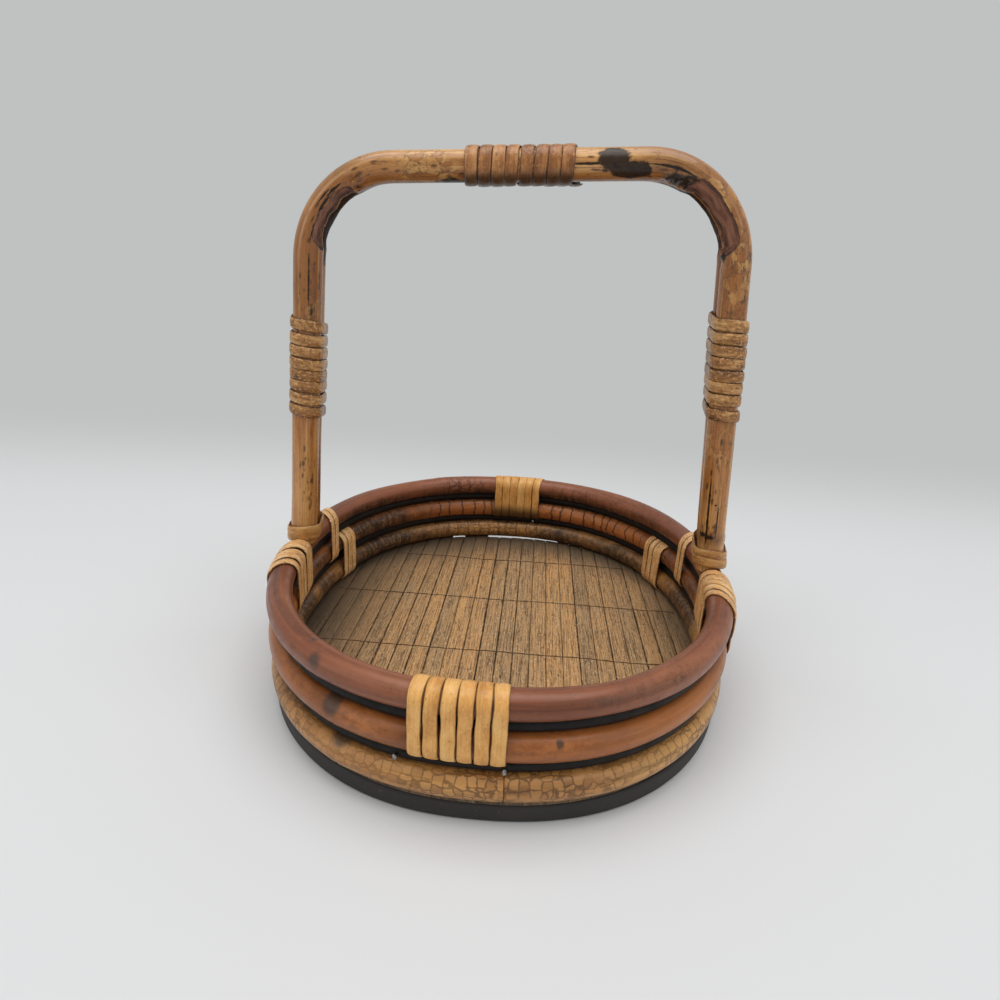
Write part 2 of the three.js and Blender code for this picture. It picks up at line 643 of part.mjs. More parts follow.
function wallGroup() {
  const group = new THREE.Group();
  const lowerHoop = closedHoop(FRONT + LOWER_SEAM_X, LOWER_HOOP_HEIGHT, HOOP_RADIUS, CANE_SIDES);
  const baseNailHoles = Object.values(baseNails).map((distance) => baseNail(distance, CLEARANCE));
  group.add(piece("lower_hoop", cut(lowerHoop, baseNailHoles), 0xaa8250, 0.45));
  const middleHoop = closedHoop(BACK - BACK_BINDING_X, MIDDLE_HOOP_HEIGHT, HOOP_RADIUS, CANE_SIDES);
  group.add(piece("middle_hoop", middleHoop, 0xa55f37, 0.4));
  const upperHoop = closedHoop(FRONT + FRONT_BINDING_X, UPPER_HOOP_HEIGHT, HOOP_RADIUS, CANE_SIDES);
  const footNailHoles = Object.values(footNails).map(([side, face]) => footNail(side, face, CLEARANCE));
  group.add(piece("upper_hoop", cut(upperHoop, footNailHoles), 0x8c5541, 0.35));
  const lowerFiller = closedHoop(RIGHT, LOWER_FILLER_HEIGHT, FILLER_RADIUS, FILLER_SIDES);
  const lowerCuts = Object.values(upperWindings).map(stripRelief);
  const bradHoles = Object.values(brads).map(([distance, face]) => brad(distance, face, CLEARANCE));
  group.add(piece("lower_filler_cane", cut(lowerFiller, [...lowerCuts, ...bradHoles]), 0x30231c, 0.5));
  const upperFiller = closedHoop(LEFT, UPPER_FILLER_HEIGHT, FILLER_RADIUS, FILLER_SIDES);
  const upperCuts = Object.values(lowerWindings).map(stripRelief);
  group.add(piece("upper_filler_cane", cut(upperFiller, upperCuts), 0x30231c, 0.5));
  for (const [name, [distance, face]] of Object.entries(brads)) {
    group.add(piece(name, brad(distance, face, 0), 0xb9b6ae, 0.35, 1));
  }
  return group;
}

function handleGroup() {
  const group = new THREE.Group();
  group.add(piece("front_handle_cane", handleCane(-1), 0xa56e3c, 0.3));
  group.add(piece("rear_handle_cane", handleCane(1), 0x94622f, 0.35));
  for (const [name, [side, face]] of Object.entries(footNails)) {
    group.add(piece(name, footNail(side, face, 0), 0x8d8f90, 0.4, 1));
  }
  return group;
}

function windingGroup() {
  const group = new THREE.Group();
  for (const [name, place] of Object.entries(upperWindings)) {
    const strip = winding(name, { ...onHoops, frameAt: upperPair, ...place });
    group.add(piece(name, strip, 0xcda05f, 0.45));
  }
  for (const [name, place] of Object.entries(lowerWindings)) {
    const strip = winding(name, { ...onHoops, frameAt: lowerPair, ...place });
    group.add(piece(name, strip, 0xc3965f, 0.45));
  }
  for (const [name, place] of Object.entries(handleWindings)) {
    group.add(piece(name, winding(name, { ...onHandle, ...place }), 0xaa784b, 0.35));
  }
  return group;
}

const basket = new THREE.Group();
basket.name = "oval_handled_basket";
basket.add(baseGroup(), floorGroup(), wallGroup(), handleGroup(), windingGroup());

export default basket;
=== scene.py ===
import math
from collections import namedtuple
from functools import reduce

import bpy
import numpy as np
from mathutils import Matrix, Vector


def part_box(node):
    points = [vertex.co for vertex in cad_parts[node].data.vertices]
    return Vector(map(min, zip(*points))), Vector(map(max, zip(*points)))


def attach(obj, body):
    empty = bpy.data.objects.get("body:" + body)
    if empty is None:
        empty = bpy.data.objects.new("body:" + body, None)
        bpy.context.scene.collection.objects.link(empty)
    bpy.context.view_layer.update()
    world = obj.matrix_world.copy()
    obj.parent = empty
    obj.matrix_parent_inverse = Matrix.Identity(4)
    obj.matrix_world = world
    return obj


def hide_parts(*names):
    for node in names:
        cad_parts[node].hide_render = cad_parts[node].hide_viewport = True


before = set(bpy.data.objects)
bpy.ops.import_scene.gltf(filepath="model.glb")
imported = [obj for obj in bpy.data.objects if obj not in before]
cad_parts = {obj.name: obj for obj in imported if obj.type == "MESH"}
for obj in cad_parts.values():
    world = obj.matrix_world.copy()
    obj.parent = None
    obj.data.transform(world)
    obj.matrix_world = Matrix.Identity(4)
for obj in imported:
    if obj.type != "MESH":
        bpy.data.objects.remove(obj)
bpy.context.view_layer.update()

MM = 0.001

# Sizes of the construction, as the frame has them
CLEARANCE = 0.3 * MM
HALF_WIDTH = 101 * MM
HALF_DEPTH = 119.5 * MM
SQUARENESS = 2.24
HOOP_RADIUS = 5.4 * MM
FILLER_RADIUS = 2.5 * MM
LOWER_SEAM_X = 9 * MM
BASE_SIDE_REACH = 4 * MM
BASE_END_REACH = 1 * MM
SLAT_COUNT = 24
THREAD_COUNT = 4
MAT_SIDE_INSET = 5 * MM
HANDLE_RADIUS = 5.4 * MM
FOOT_INSET = 0.6 * MM
COPE_DEPTH = 2.5 * MM
LEG_LEAN = math.radians(3.9)
BAR_HEIGHT = 223.2 * MM
BAR_SLOPE = math.radians(2.7)
BEND_RADIUS = 40 * MM
STRIP_WIDTH = 4.5 * MM
STRIP_THICKNESS = 0.9 * MM
STRIP_PITCH = 5.4 * MM

# Sizes that the photograph shows and the frame leaves plain
SEAM_GAP = 0.08 * MM
BASE_EDGE_ROUND = 1.4 * MM
FRONT_CANE_RADIUS = 6.2 * MM
REAR_CANE_RADIUS = 5.7 * MM
CANE_PRESS = 0.1 * MM
SEEN_SPACING = FRONT_CANE_RADIUS + REAR_CANE_RADIUS - CANE_PRESS
SEEN_INSET = 0.6 * MM


# Heights read from the frame
def box_middle(node):
    return [(low + high) / 2 for low, high in zip(*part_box(node))]


LOWER_HEIGHT, MIDDLE_HEIGHT, UPPER_HEIGHT = (
    box_middle(node)[2] for node in ("lower_hoop", "middle_hoop", "upper_hoop")
)
LOWER_FILLER_HEIGHT = (LOWER_HEIGHT + MIDDLE_HEIGHT) / 2
UPPER_FILLER_HEIGHT = (MIDDLE_HEIGHT + UPPER_HEIGHT) / 2
HOOP_PITCH = MIDDLE_HEIGHT - LOWER_HEIGHT
BASE_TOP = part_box("base_board")[1].z
MAT_BOTTOM, MAT_TOP = (corner.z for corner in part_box("floor_slat_12"))
FOOT_HEIGHT = UPPER_HEIGHT + HOOP_RADIUS - COPE_DEPTH
FOOT_X = HALF_WIDTH - FOOT_INSET
CANE_SPACING = 2 * HANDLE_RADIUS + CLEARANCE


# Lines that canes follow

OVAL_POINTS = 8001
BEND_POINTS = 400
Frames = namedtuple("Frames", "centre along first second")


def unit(vectors):
    return vectors / np.linalg.norm(vectors, axis=-1, keepdims=True)


def eased(share):
    """A share from 0 to 1 that starts and ends gently."""
    return share * share * (3 - 2 * share)


def bell(gap, reach):
    return np.exp(-((gap / reach) ** 2))


def ring_angles(sides):
    return np.linspace(0, math.tau, sides, endpoint=False)


class Line:
    """A curve in a plane, looked up by distance along it."""

    PROBE = 0.4 * MM

    def __init__(self, points, closed):
        steps = np.linalg.norm(np.diff(points, axis=0), axis=1)
        self.points = points
        self.distances = np.concatenate([[0], np.cumsum(steps)])
        self.length = self.distances[-1]
        self.closed = closed

    def point(self, distance):
        if self.closed:
            distance = np.mod(distance, self.length)
        return np.stack([np.interp(distance, self.distances, column) for column in self.points.T], axis=-1)

    def tangent(self, distance):
        distance = np.asarray(distance, float)
        low, high = distance - self.PROBE, distance + self.PROBE
        if not self.closed:
            low, high = np.maximum(low, 0), np.minimum(high, self.length)
        return unit(self.point(high) - self.point(low))


def oval_points(angle, half_width, half_depth):
    across = np.abs(np.cos(angle)) / half_width
    deep = np.abs(np.sin(angle)) / half_depth
    reach = (across**SQUARENESS + deep**SQUARENESS) ** (-1 / SQUARENESS)
    return np.stack([reach * np.cos(angle), reach * np.sin(angle)], axis=-1)


def oval_depth(x, half_width, half_depth):
    share = np.minimum(np.abs(x) / half_width, 1)
    return half_depth * (1 - share**SQUARENESS) ** (1 / SQUARENESS)


hoop_line = Line(oval_points(np.linspace(0, math.tau, OVAL_POINTS), HALF_WIDTH, HALF_DEPTH), closed=True)
RIGHT = 0.0
BACK = hoop_line.length / 4
LEFT = hoop_line.length / 2
FRONT = 3 * hoop_line.length / 4

# Height of each level in front, and how far it dips at the back
Level = namedtuple("Level", "height dip")
LOWER = Level(LOWER_HEIGHT, 0.0)
MIDDLE = Level(MIDDLE_HEIGHT, 1.2 * MM)
UPPER = Level(UPPER_HEIGHT, 2.0 * MM)
LOWER_FILLER = Level(LOWER_FILLER_HEIGHT, 0.6 * MM)
UPPER_FILLER = Level(UPPER_FILLER_HEIGHT, 1.6 * MM)
BRAD_LEVEL = Level(LOWER_FILLER_HEIGHT - 0.4 * MM, 0.6 * MM)
DIP_START = 25 * MM
DIP_RUN = 85 * MM


def back_share(point):
    """How far a place on the hoops has come from the handle to the back, from 0 to 1."""
    return eased(np.clip((point[:, 1] - DIP_START) / DIP_RUN, 0, 1))


def hoop_frames(distance, level):
    """Frames along a hoop: first points out of the basket and second up."""
    point, tangent = hoop_line.point(distance), hoop_line.tangent(distance)
    flat = np.zeros(len(point))
    centre = np.column_stack([point, level.height - level.dip * back_share(point)])
    along = np.column_stack([tangent, flat])
    first = np.column_stack([tangent[:, 1], -tangent[:, 0], flat])
    second = np.tile([0.0, 0.0, 1.0], (len(point), 1))
    return Frames(centre, along, first, second)


def upper_pair(distance):
    return hoop_frames(distance, UPPER_FILLER)


def lower_pair(distance):
    return hoop_frames(distance, LOWER_FILLER)


def round_gap(distance, place):
    """Distance from a place on the hoops, the shorter way round."""
    half = hoop_line.length / 2
    return np.mod(distance - place + half, hoop_line.length) - half


LEFT_TURN = math.pi / 2 - LEG_LEAN - BAR_SLOPE
RIGHT_TURN = math.pi / 2 - LEG_LEAN + BAR_SLOPE


def leg_top(side):
    """Where the leg's line meets the bar's. Side is -1 on the left."""
    lean, rise = math.tan(LEG_LEAN), math.tan(BAR_SLOPE) * side
    height = (BAR_HEIGHT - FOOT_HEIGHT + rise * FOOT_X) / (1 + rise * lean)
    return np.array([side * (FOOT_X - height * lean), FOOT_HEIGHT + height])


def bend_centre(side, turn):
    down = np.array([side * math.sin(LEG_LEAN), -math.cos(LEG_LEAN)])
    inward = np.array([-side * math.cos(LEG_LEAN), -math.sin(LEG_LEAN)])
    return leg_top(side) + down * BEND_RADIUS * math.tan(turn / 2) + inward * BEND_RADIUS


def handle_points():
    """The handle's line in X and Z: up the left leg, along the bar and down the right leg."""

    def arc(centre, start, end):
        angle = np.linspace(start, end, BEND_POINTS)
        return centre + BEND_RADIUS * np.stack([np.cos(angle), np.sin(angle)], axis=-1)

    bar_angle = math.pi / 2 + BAR_SLOPE
    left = arc(bend_centre(-1, LEFT_TURN), math.pi - LEG_LEAN, bar_angle)
    right = arc(bend_centre(1, RIGHT_TURN), bar_angle, LEG_LEAN)
    return np.concatenate([[[-FOOT_X, FOOT_HEIGHT]], left, right, [[FOOT_X, FOOT_HEIGHT]]])


handle_line = Line(handle_points(), closed=False)
LEFT_LEG = np.linalg.norm(handle_line.points[1] - handle_line.points[0])
RIGHT_LEG = np.linalg.norm(handle_line.points[-1] - handle_line.points[-2])
LEFT_BEND = (LEFT_LEG, LEFT_LEG + BEND_RADIUS * LEFT_TURN)
RIGHT_BEND = (
    handle_line.length - RIGHT_LEG - BEND_RADIUS * RIGHT_TURN,
    handle_line.length - RIGHT_LEG,
)
GRIP_MIDDLE = (LEFT_BEND[1] + RIGHT_BEND[0]) / 2
SPREAD_AT = (0, LEFT_BEND[0], GRIP_MIDDLE, RIGHT_BEND[1], handle_line.length)
SPREAD_DEGREES = (11, 10, 6, 3, 10)


def handle_frames(distance):
    """Frames along the handle: first points out of the arch and second from the front cane to the rear one.
    The rear cane's arch is a little wider than the front one's, so second turns outwards."""
    point, tangent = handle_line.point(distance), handle_line.tangent(distance)
    flat = np.zeros(len(point))
    along = np.column_stack([tangent[:, 0], flat, tangent[:, 1]])
    out = np.column_stack([-tangent[:, 1], flat, tangent[:, 0]])
    back = np.tile([0.0, 1.0, 0.0], (len(point), 1))
    spread = np.radians(np.interp(distance, SPREAD_AT, SPREAD_DEGREES))[:, None]
    first = np.cos(spread) * out - np.sin(spread) * back
    second = np.cos(spread) * back + np.sin(spread) * out
    front = np.column_stack([point[:, 0], flat, point[:, 1]]) - back * CANE_SPACING / 2 - out * SEEN_INSET
    return Frames(front + second * SEEN_SPACING / 2, along, first, second)


# Pieces

def make_piece(name, vertices, faces, material, attributes, sharp):
    """A mesh that stands for the CAD node of the same name."""
    mesh = bpy.data.meshes.new(name)
    mesh.from_pydata(vertices.tolist(), [], faces)
    for key, values in attributes.items():
        kind, field = ("FLOAT", "value") if values.ndim == 1 else ("FLOAT_VECTOR", "vector")
        mesh.attributes.new(key, kind, "POINT").data.foreach_set(field, values.astype(np.float32).ravel())
    mesh.shade_smooth()
    mesh.set_sharp_from_angle(angle=math.radians(sharp))
    mesh.materials.append(material)
    piece = bpy.data.objects.new(f"{name}.look", mesh)
    bpy.context.scene.collection.objects.link(piece)
    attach(piece, "root")
    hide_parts(name)
    return piece


def swept_faces(stations, sides):
    """Quads between neighbouring rings, and fans to one middle point at each end."""
    ring, side = np.meshgrid(np.arange(stations - 1), np.arange(sides), indexing="ij")
    a = ring * sides + side
    b = ring * sides + (side + 1) % sides
    faces = np.stack([a, b, b + sides, a + sides], axis=-1).reshape(-1, 4).tolist()
    start, end = stations * sides, stations * sides + 1
    last = (stations - 1) * sides
    for k in range(sides):
        following = (k + 1) % sides
        faces.append((start, following, k))
        faces.append((end, last + k, last + following))
    return faces


def sweep(name, rings, material, attributes, sharp=50):
    """Closed solid through rings of points, with values for the material at every point."""
    stations, sides = rings.shape[:2]

    def with_ends(values):
        flat = values.reshape(stations * sides, *values.shape[2:])
        return np.concatenate([flat, values[:1].mean(axis=1), values[-1:].mean(axis=1)])

    values = {key: with_ends(value) for key, value in attributes.items()}
    return make_piece(name, with_ends(rings), swept_faces(stations, sides), material, values, sharp)


def ripple(rng, distance, wavelength, waves=5):
    """Smooth wandering about zero, of about unit size."""
    total = np.zeros_like(distance)
    for _ in range(waves):
        reach = wavelength * rng.uniform(0.5, 2.0)
        total += np.sin(math.tau * distance / reach + rng.uniform(0, math.tau))
    return total / math.sqrt(waves / 2)


def cut_radius(radius, angle, cut_angle, cut_distance, cut_size):
    """Radius of a round section that has lost what lies in a circle at a distance in one direction."""
    turn = angle - cut_angle
    inside = cut_size**2 - (cut_distance * np.sin(turn)) ** 2
    hit = cut_distance * np.cos(turn) - np.sqrt(np.maximum(inside, 0))
    return np.where((inside > 0) & (np.cos(turn) > 0), np.minimum(radius, hit), radius)


END_ROUND = 0.7 * MM
END_DROP = 0.12
END_STEPS = np.array([0, 0.08, 0.3, 0.6, 1.0])


def cane_stations(start, end, step):
    """Distances along a cane with close steps at its ends, where the edge is eased."""
    easing = END_ROUND * END_STEPS
    inner = np.linspace(start + 2 * END_ROUND, end - 2 * END_ROUND, int((end - start) / step))
    return np.concatenate([start + easing, inner, end - easing[::-1]])


def end_easing(distance):
    """Share of its radius that a cane has at each distance, less at its rounded ends."""
    reach = np.minimum(distance - distance[0], distance[-1] - distance)
    share = np.clip(reach / END_ROUND, 0, 1)
    return 1 - END_DROP * (1 - np.sqrt(1 - (1 - share) ** 2))


def grain_of(distance, angle, radius):
    """Place on a cane for its material: along it, and across it without a seam."""
    along = np.broadcast_to(distance[:, None], radius.shape)
    return np.stack([along, radius * np.cos(angle), radius * np.sin(angle)], axis=-1)


def tube_rings(frames, angle, radius):
    up = np.cos(angle)[None, :, None] * frames.second[:, None]
    across = up + np.sin(angle)[None, :, None] * frames.first[:, None]
    return frames.centre[:, None] + radius[..., None] * across


def near(anchor, *rows):
    """Marks by their millimetres along a cane from an anchor, degrees around it (0 is second, 90 is first),
    half length and half width in millimetres, and strength."""
    return [
        (anchor + offset * MM, around, half_length * MM, half_width * MM, strength)
        for offset, around, half_length, half_width, strength in rows
    ]


def mark_field(distance, angle, radius, marks, closed=False):
    """Strength of the marks at each point of a cane."""
    field = np.zeros((len(distance), len(angle)))
    for place, around, half_length, half_width, strength in marks:
        gap = round_gap(distance, place) if closed else distance - place
        turn = np.mod(angle - math.radians(around) + math.pi, math.tau) - math.pi
        share = (gap[:, None] / half_length) ** 2 + (turn[None] * radius / half_width) ** 2
        field = np.maximum(field, strength * np.exp(-share))
    return field


# Materials

def srgb(red, green, blue):
    """Scene colour of a colour as seen on a screen, from 0 to 255."""

    def linear(value):
        share = value / 255
        return share / 12.92 if share <= 0.04045 else ((share + 0.055) / 1.055) ** 2.4

    return (linear(red), linear(green), linear(blue), 1.0)


def toned(tone, share):
    """A colour made darker, or lighter where the share is over 1."""
    return [share * part for part in tone]


def put(tree, socket, value):
    if isinstance(value, bpy.types.NodeSocket):
        tree.links.new(value, socket)
    else:
        socket.default_value = value


def add_node(tree, kind, inputs, output=0, **settings):
    """One output of a new node, whose inputs are values or other nodes' outputs."""
    made = tree.nodes.new(kind)
    for key, value in settings.items():
        setattr(made, key, value)
    for key, value in inputs.items():
        put(tree, made.inputs[key], value)
    return made.outputs[output]


class Finish:
    """A material and short ways to add its nodes. A flat one has no grain through its thickness."""

    def __init__(self, name, flat=False):
        self.material = bpy.data.materials.new(name)
        self.material.use_nodes = True
        self.tree = self.material.node_tree
        self.shader = self.tree.nodes["Principled BSDF"]
        self.flat = flat

    def node(self, kind, inputs, output=0, **settings):
        return add_node(self.tree, kind, inputs, output, **settings)

    def value(self, name):
        return self.node("ShaderNodeAttribute", {}, "Fac", attribute_name=name)

    def grain(self, *scale, offset=(0, 0, 0)):
        vector = self.node("ShaderNodeAttribute", {}, "Vector", attribute_name="grain")
        return self.node("ShaderNodeMapping", {"Vector": vector, "Scale": scale, "Location": offset})

    def place(self, *scale):
        vector = self.node("ShaderNodeTexCoord", {}, "Object")
        return self.node("ShaderNodeMapping", {"Vector": vector, "Scale": scale})

    def noise(self, vector, detail=2.0, roughness=0.5):
        inputs = {"Vector": vector, "Scale": 1.0, "Detail": detail, "Roughness": roughness}
        return self.node("ShaderNodeTexNoise", inputs, "Fac")

    def fibres(self, along, across, detail=2.0, roughness=0.5, offset=(0, 0, 0)):
        """Noise by how often it changes in a metre along the grain and across it."""
        through = 0 if self.flat else across
        return self.noise(self.grain(along, across, through, offset=offset), detail, roughness)

    def cells(self, vector, output, randomness, feature="F1", dimensions="3D"):
        inputs = {"Scale": 1.0, "Randomness": randomness, "W" if dimensions == "1D" else "Vector": vector}
        settings = {"feature": feature, "voronoi_dimensions": dimensions}
        return self.node("ShaderNodeTexVoronoi", inputs, output, **settings)

    def net(self, along, across, shake, order=1.0, fineness=1.0):
        """Distance to the edge, and random shade, of cells of a size on a cane, with wavering edges."""
        place = self.grain(90 * fineness, 150 * fineness, 150 * fineness)
        waver = self.node("ShaderNodeTexNoise", {"Vector": place, "Detail": 2.0}, "Color")
        shift = self.node("ShaderNodeVectorMath", {0: waver, "Scale": shake}, operation="SCALE")
        scaled = self.grain(1 / along, 1 / across, 1 / across)
        cells = self.node("ShaderNodeVectorMath", {0: scaled, 1: shift}, operation="ADD")
        edge = self.cells(cells, "Distance", order, "DISTANCE_TO_EDGE")
        return edge, self.node("ShaderNodeSeparateColor", {0: self.cells(cells, "Color", order)})

    def span(self, value, low, high, to_low=0.0, to_high=1.0):
        inputs = {"Value": value, "From Min": low, "From Max": high, "To Min": to_low, "To Max": to_high}
        return self.node("ShaderNodeMapRange", inputs, interpolation_type="SMOOTHSTEP")

    def maths(self, operation, *values):
        """An operation on two values, or on the result so far and each value that follows."""
        return reduce(lambda a, b: self.node("ShaderNodeMath", {0: a, 1: b}, operation=operation), values)

    def plus(self, *values):
        return self.maths("ADD", *values)

    def minus(self, a, b):
        return self.maths("SUBTRACT", a, b)

    def times(self, *values):
        return self.maths("MULTIPLY", *values)

    def most(self, *values):
        return self.maths("MAXIMUM", *values)

    def blend(self, a, b, share):
        """The first value with a share of the second."""
        return self.plus(self.times(a, 1 - share), self.times(b, share))

    def ragged(self, field, noise, spread, low, high):
        """The marks of a field, with an edge that a noise makes uneven."""
        return self.span(self.plus(self.value(field), self.times(noise, spread)), low, high)

    def ramp(self, value, *stops):
        made = self.tree.nodes.new("ShaderNodeValToRGB")
        elements = made.color_ramp.elements
        while len(elements) < len(stops):
            elements.new(0.5)
        for element, (position, tone) in zip(elements, stops):
            element.position = position
            element.color = srgb(*tone)
        put(self.tree, made.inputs["Fac"], value)
        return made.outputs["Color"]

    def mix(self, share, colour, tone):
        """Colour taken towards a tone, which is a colour as seen on a screen or a node's output."""
        other = tone if isinstance(tone, bpy.types.NodeSocket) else srgb(*tone)
        return self.node("ShaderNodeMix", {0: share, 6: colour, 7: other}, 2, data_type="RGBA")

    def tinted(self, colour, *rows):
        """Colour taken towards each row's tone, by up to its share, as its value goes from low to high."""
        for value, low, high, share, tone in rows:
            colour = self.mix(self.span(value, low, high, 0.0, share), colour, tone)
        return colour

    def bump(self, height, distance, strength):
        return self.node("ShaderNodeBump", {"Height": height, "Distance": distance, "Strength": strength})

    def finish(self, colour, roughness, normal=None, **inputs):
        inputs.update(Base_Color=colour, Roughness=roughness)
        if normal:
            inputs["Normal"] = normal
        for key, value in inputs.items():
            put(self.tree, self.shader.inputs[key.replace("_", " ")], value)
        return self.material


RING_SPACING = 7.5 * MM


def cane_finish(
    name,
    tones,
    net,
    roughness=0.36,
    gloss=0.15,
    line=(30, 18, 13),
    order=0.85,
    shake=0.6,
    deep=0.85,
    patch=0.45,
):
    """Varnished cane: long bands of three tones, cracks in a net of cells in millimetres and in rings,
    places where it is stained, and dusky places that are partly grime and partly painted shade."""
    f = Finish(name)
    dark, _, pale = tones
    blotch = f.fibres(14, 60, 3, 0.55)
    band = f.fibres(9, 330, 3, 0.6)
    fibre = f.fibres(40, 1300, 2, 0.6)
    mottle = f.fibres(190, 300, 5, 0.7)
    colour = f.tinted(
        f.ramp(blotch, *zip((0.32, 0.5, 0.68), tones)),
        (band, 0.45, 0.7, 0.55, toned(dark, 0.62)),
        (band, 0.5, 0.28, 0.3, pale),
        (mottle, 0.56, 0.72, 0.45, toned(dark, 0.5)),
        (mottle, 0.44, 0.3, 0.35, toned(pale, 1.06)),
    )
    # Glow marks make the cane paler: a painted highlight along the tops of the hoops, and paler patches of
    # the cane elsewhere.
    colour = f.mix(f.times(f.value("glow"), f.span(mottle, 0.25, 0.6)), colour, toned(pale, 1.06))
    edge, shade = f.net(net[0] * MM, net[1] * MM, shake, order)
    crackled = f.value("crackle")
    colour = f.mix(f.times(f.span(shade, 0.3, 0.9), patch, crackled), colour, toned(pale, 1.04))
    colour = f.mix(f.times(f.span(shade, 0.35, 0.05), patch, crackled), colour, toned(dark, 0.8))
    uneven = f.span(f.fibres(60, 120, 3, offset=(3, 1, 2)), 0.3, 0.5)
    along = f.node("ShaderNodeSeparateXYZ", {0: f.grain(1 / RING_SPACING, 1, 1)})
    waver = f.times(f.fibres(60, 200, 4), 0.8)
    ring_edge = f.cells(f.plus(along, waver), "Distance", 0.9, "DISTANCE_TO_EDGE", "1D")
    whole = f.span(f.fibres(120, 130, offset=(1, 5, 2)), 0.28, 0.42)
    crack = f.most(
        f.times(f.span(edge, 0.02, 0.11, 1.0, 0.0), uneven, crackled),
        f.times(f.span(ring_edge, 0.035, 0.1, 1.0, 0.0), whole, f.span(f.value("rings"), 0.2, 0.6)),
    )
    colour = f.mix(f.times(crack, deep), colour, line)
    spread = f.fibres(110, 170, 5, 0.7, offset=(7, 3, 1))
    furrow = f.fibres(520, 70, 5, 0.75, offset=(2, 9, 4))
    fine_blotches = f.fibres(360, 460, 6, 0.8, offset=(4, 4, 7))
    dirt_and_shade_noise = f.blend(furrow, fine_blotches, 0.5)
    dirt_and_shade_tone = f.ramp(dirt_and_shade_noise, (0.42, (24, 17, 14)), (0.5, (58, 41, 31)), (0.59, (132, 97, 66)))
    # Dusky places: grime on the inner faces, and painted shade on the faces of the hoops under and between
    # one another.
    colour = f.mix(f.times(f.ragged("dusk", spread, 0.7, 0.6, 1.05), 0.92), colour, dirt_and_shade_tone)
    colour = f.mix(f.times(f.ragged("stain", spread, 0.6, 0.6, 1.0), 0.8), colour, (64, 52, 44))
    height = f.minus(f.plus(f.times(fibre, 0.2), f.times(mottle, 1.2)), crack)
    rough = f.plus(f.span(mottle, 0.3, 0.7, roughness - 0.06, roughness + 0.12), f.times(crack, 0.2))
    normal = f.bump(height, 0.25 * MM, 0.6)
    return f.finish(colour, rough, normal, Specular_IOR_Level=0.3, Coat_Weight=gloss, Coat_Roughness=0.2)


def handle_finish():
    """Glossy scorched cane: lines along it, pale places with a painted highlight, outlined flakes, burns,
    painted shade and dull hollows.
    """
    f = Finish("handle_cane")
    blotch = f.fibres(22, 110, 4, 0.6)
    band = f.fibres(8, 460, 3, 0.6)
    fibre = f.fibres(9, 1500, 3, 0.65)
    mottle = f.fibres(300, 460, 5, 0.7)
    dash = f.fibres(110, 1000, 4, 0.75, offset=(5, 1, 3))
    # Pale marks make the cane paler: at the ends of the legs it is the cane's own tone, along the bar's top
    # edge a painted highlight.
    tone = f.blend(blotch, f.value("pale"), 0.25)
    colour = f.tinted(
        f.ramp(tone, (0.22, (138, 84, 40)), (0.42, (172, 112, 56)), (0.68, (216, 162, 98))),
        (band, 0.5, 0.7, 0.5, (126, 76, 36)),
        (band, 0.46, 0.3, 0.55, (226, 179, 116)),
        (fibre, 0.55, 0.68, 0.55, (92, 53, 25)),
        (dash, 0.57, 0.67, 0.55, (84, 48, 24)),
    )
    edge, shade = f.net(4.2 * MM, 3.2 * MM, 0.7, fineness=2.0)
    scaly = f.ragged("flake", blotch, 0.5, 0.4, 0.8)
    worn = f.span(mottle, 0.36, 0.56, 0.25, 1.0)
    crack = f.times(f.span(edge, 0.015, 0.06, 1.0, 0.0), scaly, worn)
    colour = f.mix(f.times(f.span(shade, 0.55, 0.8), scaly, worn, 0.6), colour, (212, 164, 98))
    colour = f.mix(f.times(f.span(shade, 0.4, 0.15), scaly, 0.4), colour, (140, 84, 42))
    colour = f.mix(f.times(crack, 0.55), colour, (72, 42, 20))
    colour = f.tinted(colour, (mottle, 0.6, 0.7, 0.65, (62, 36, 18)))
    # Dim marks darken the cane; the long one along the bar's underside is painted shade.
    colour = f.mix(f.times(f.value("dim"), f.span(mottle, 0.3, 0.6, 0.45, 0.75)), colour, (74, 44, 24))
    depth = f.value("scoop")
    pith = f.fibres(70, 620, 6, 0.75, offset=(6, 2, 8))
    hollow = f.ramp(
        f.plus(f.times(depth, 0.3), f.times(pith, 0.9)),
        (0.42, (44, 29, 22)),
        (0.56, (108, 71, 54)),
        (0.68, (148, 101, 80)),
        (0.84, (182, 134, 104)),
    )
    inside = f.span(f.plus(depth, f.times(f.minus(mottle, 0.5), 0.2)), 0.02, 0.08)
    lip = f.times(f.span(depth, 0.01, 0.05), f.span(depth, 0.2, 0.08), f.span(mottle, 0.5, 0.6))
    colour = f.mix(inside, colour, hollow)
    colour = f.mix(f.times(lip, 0.8), colour, (196, 150, 104))
    spread = f.fibres(260, 330, 4, 0.65, offset=(7, 3, 1))
    fleck = f.ragged("fleck", spread, 0.6, 0.5, 1.0)
    stain = f.ragged("stain", spread, 0.7, 0.7, 0.9)
    colour = f.mix(f.times(fleck, 0.8), colour, (70, 40, 22))
    # Stains are burns and dark lines, and painted shade on the bar's underside near the grip and inside the
    # bends.
    colour = f.mix(f.times(stain, 0.95), colour, (26, 18, 15))
    height = f.plus(f.minus(f.times(fibre, 0.3), f.times(crack, 0.6)), f.times(pith, inside, 2.0))
    normal = f.bump(height, 0.3 * MM, 0.7)
    rough = f.plus(f.span(mottle, 0.3, 0.7, 0.2, 0.36), f.times(inside, 0.4))
    coat = f.span(f.most(inside, stain), 0.0, 1.0, 0.35, 0.0)
    return f.finish(colour, rough, normal, Specular_IOR_Level=0.3, Coat_Weight=coat, Coat_Roughness=0.12)


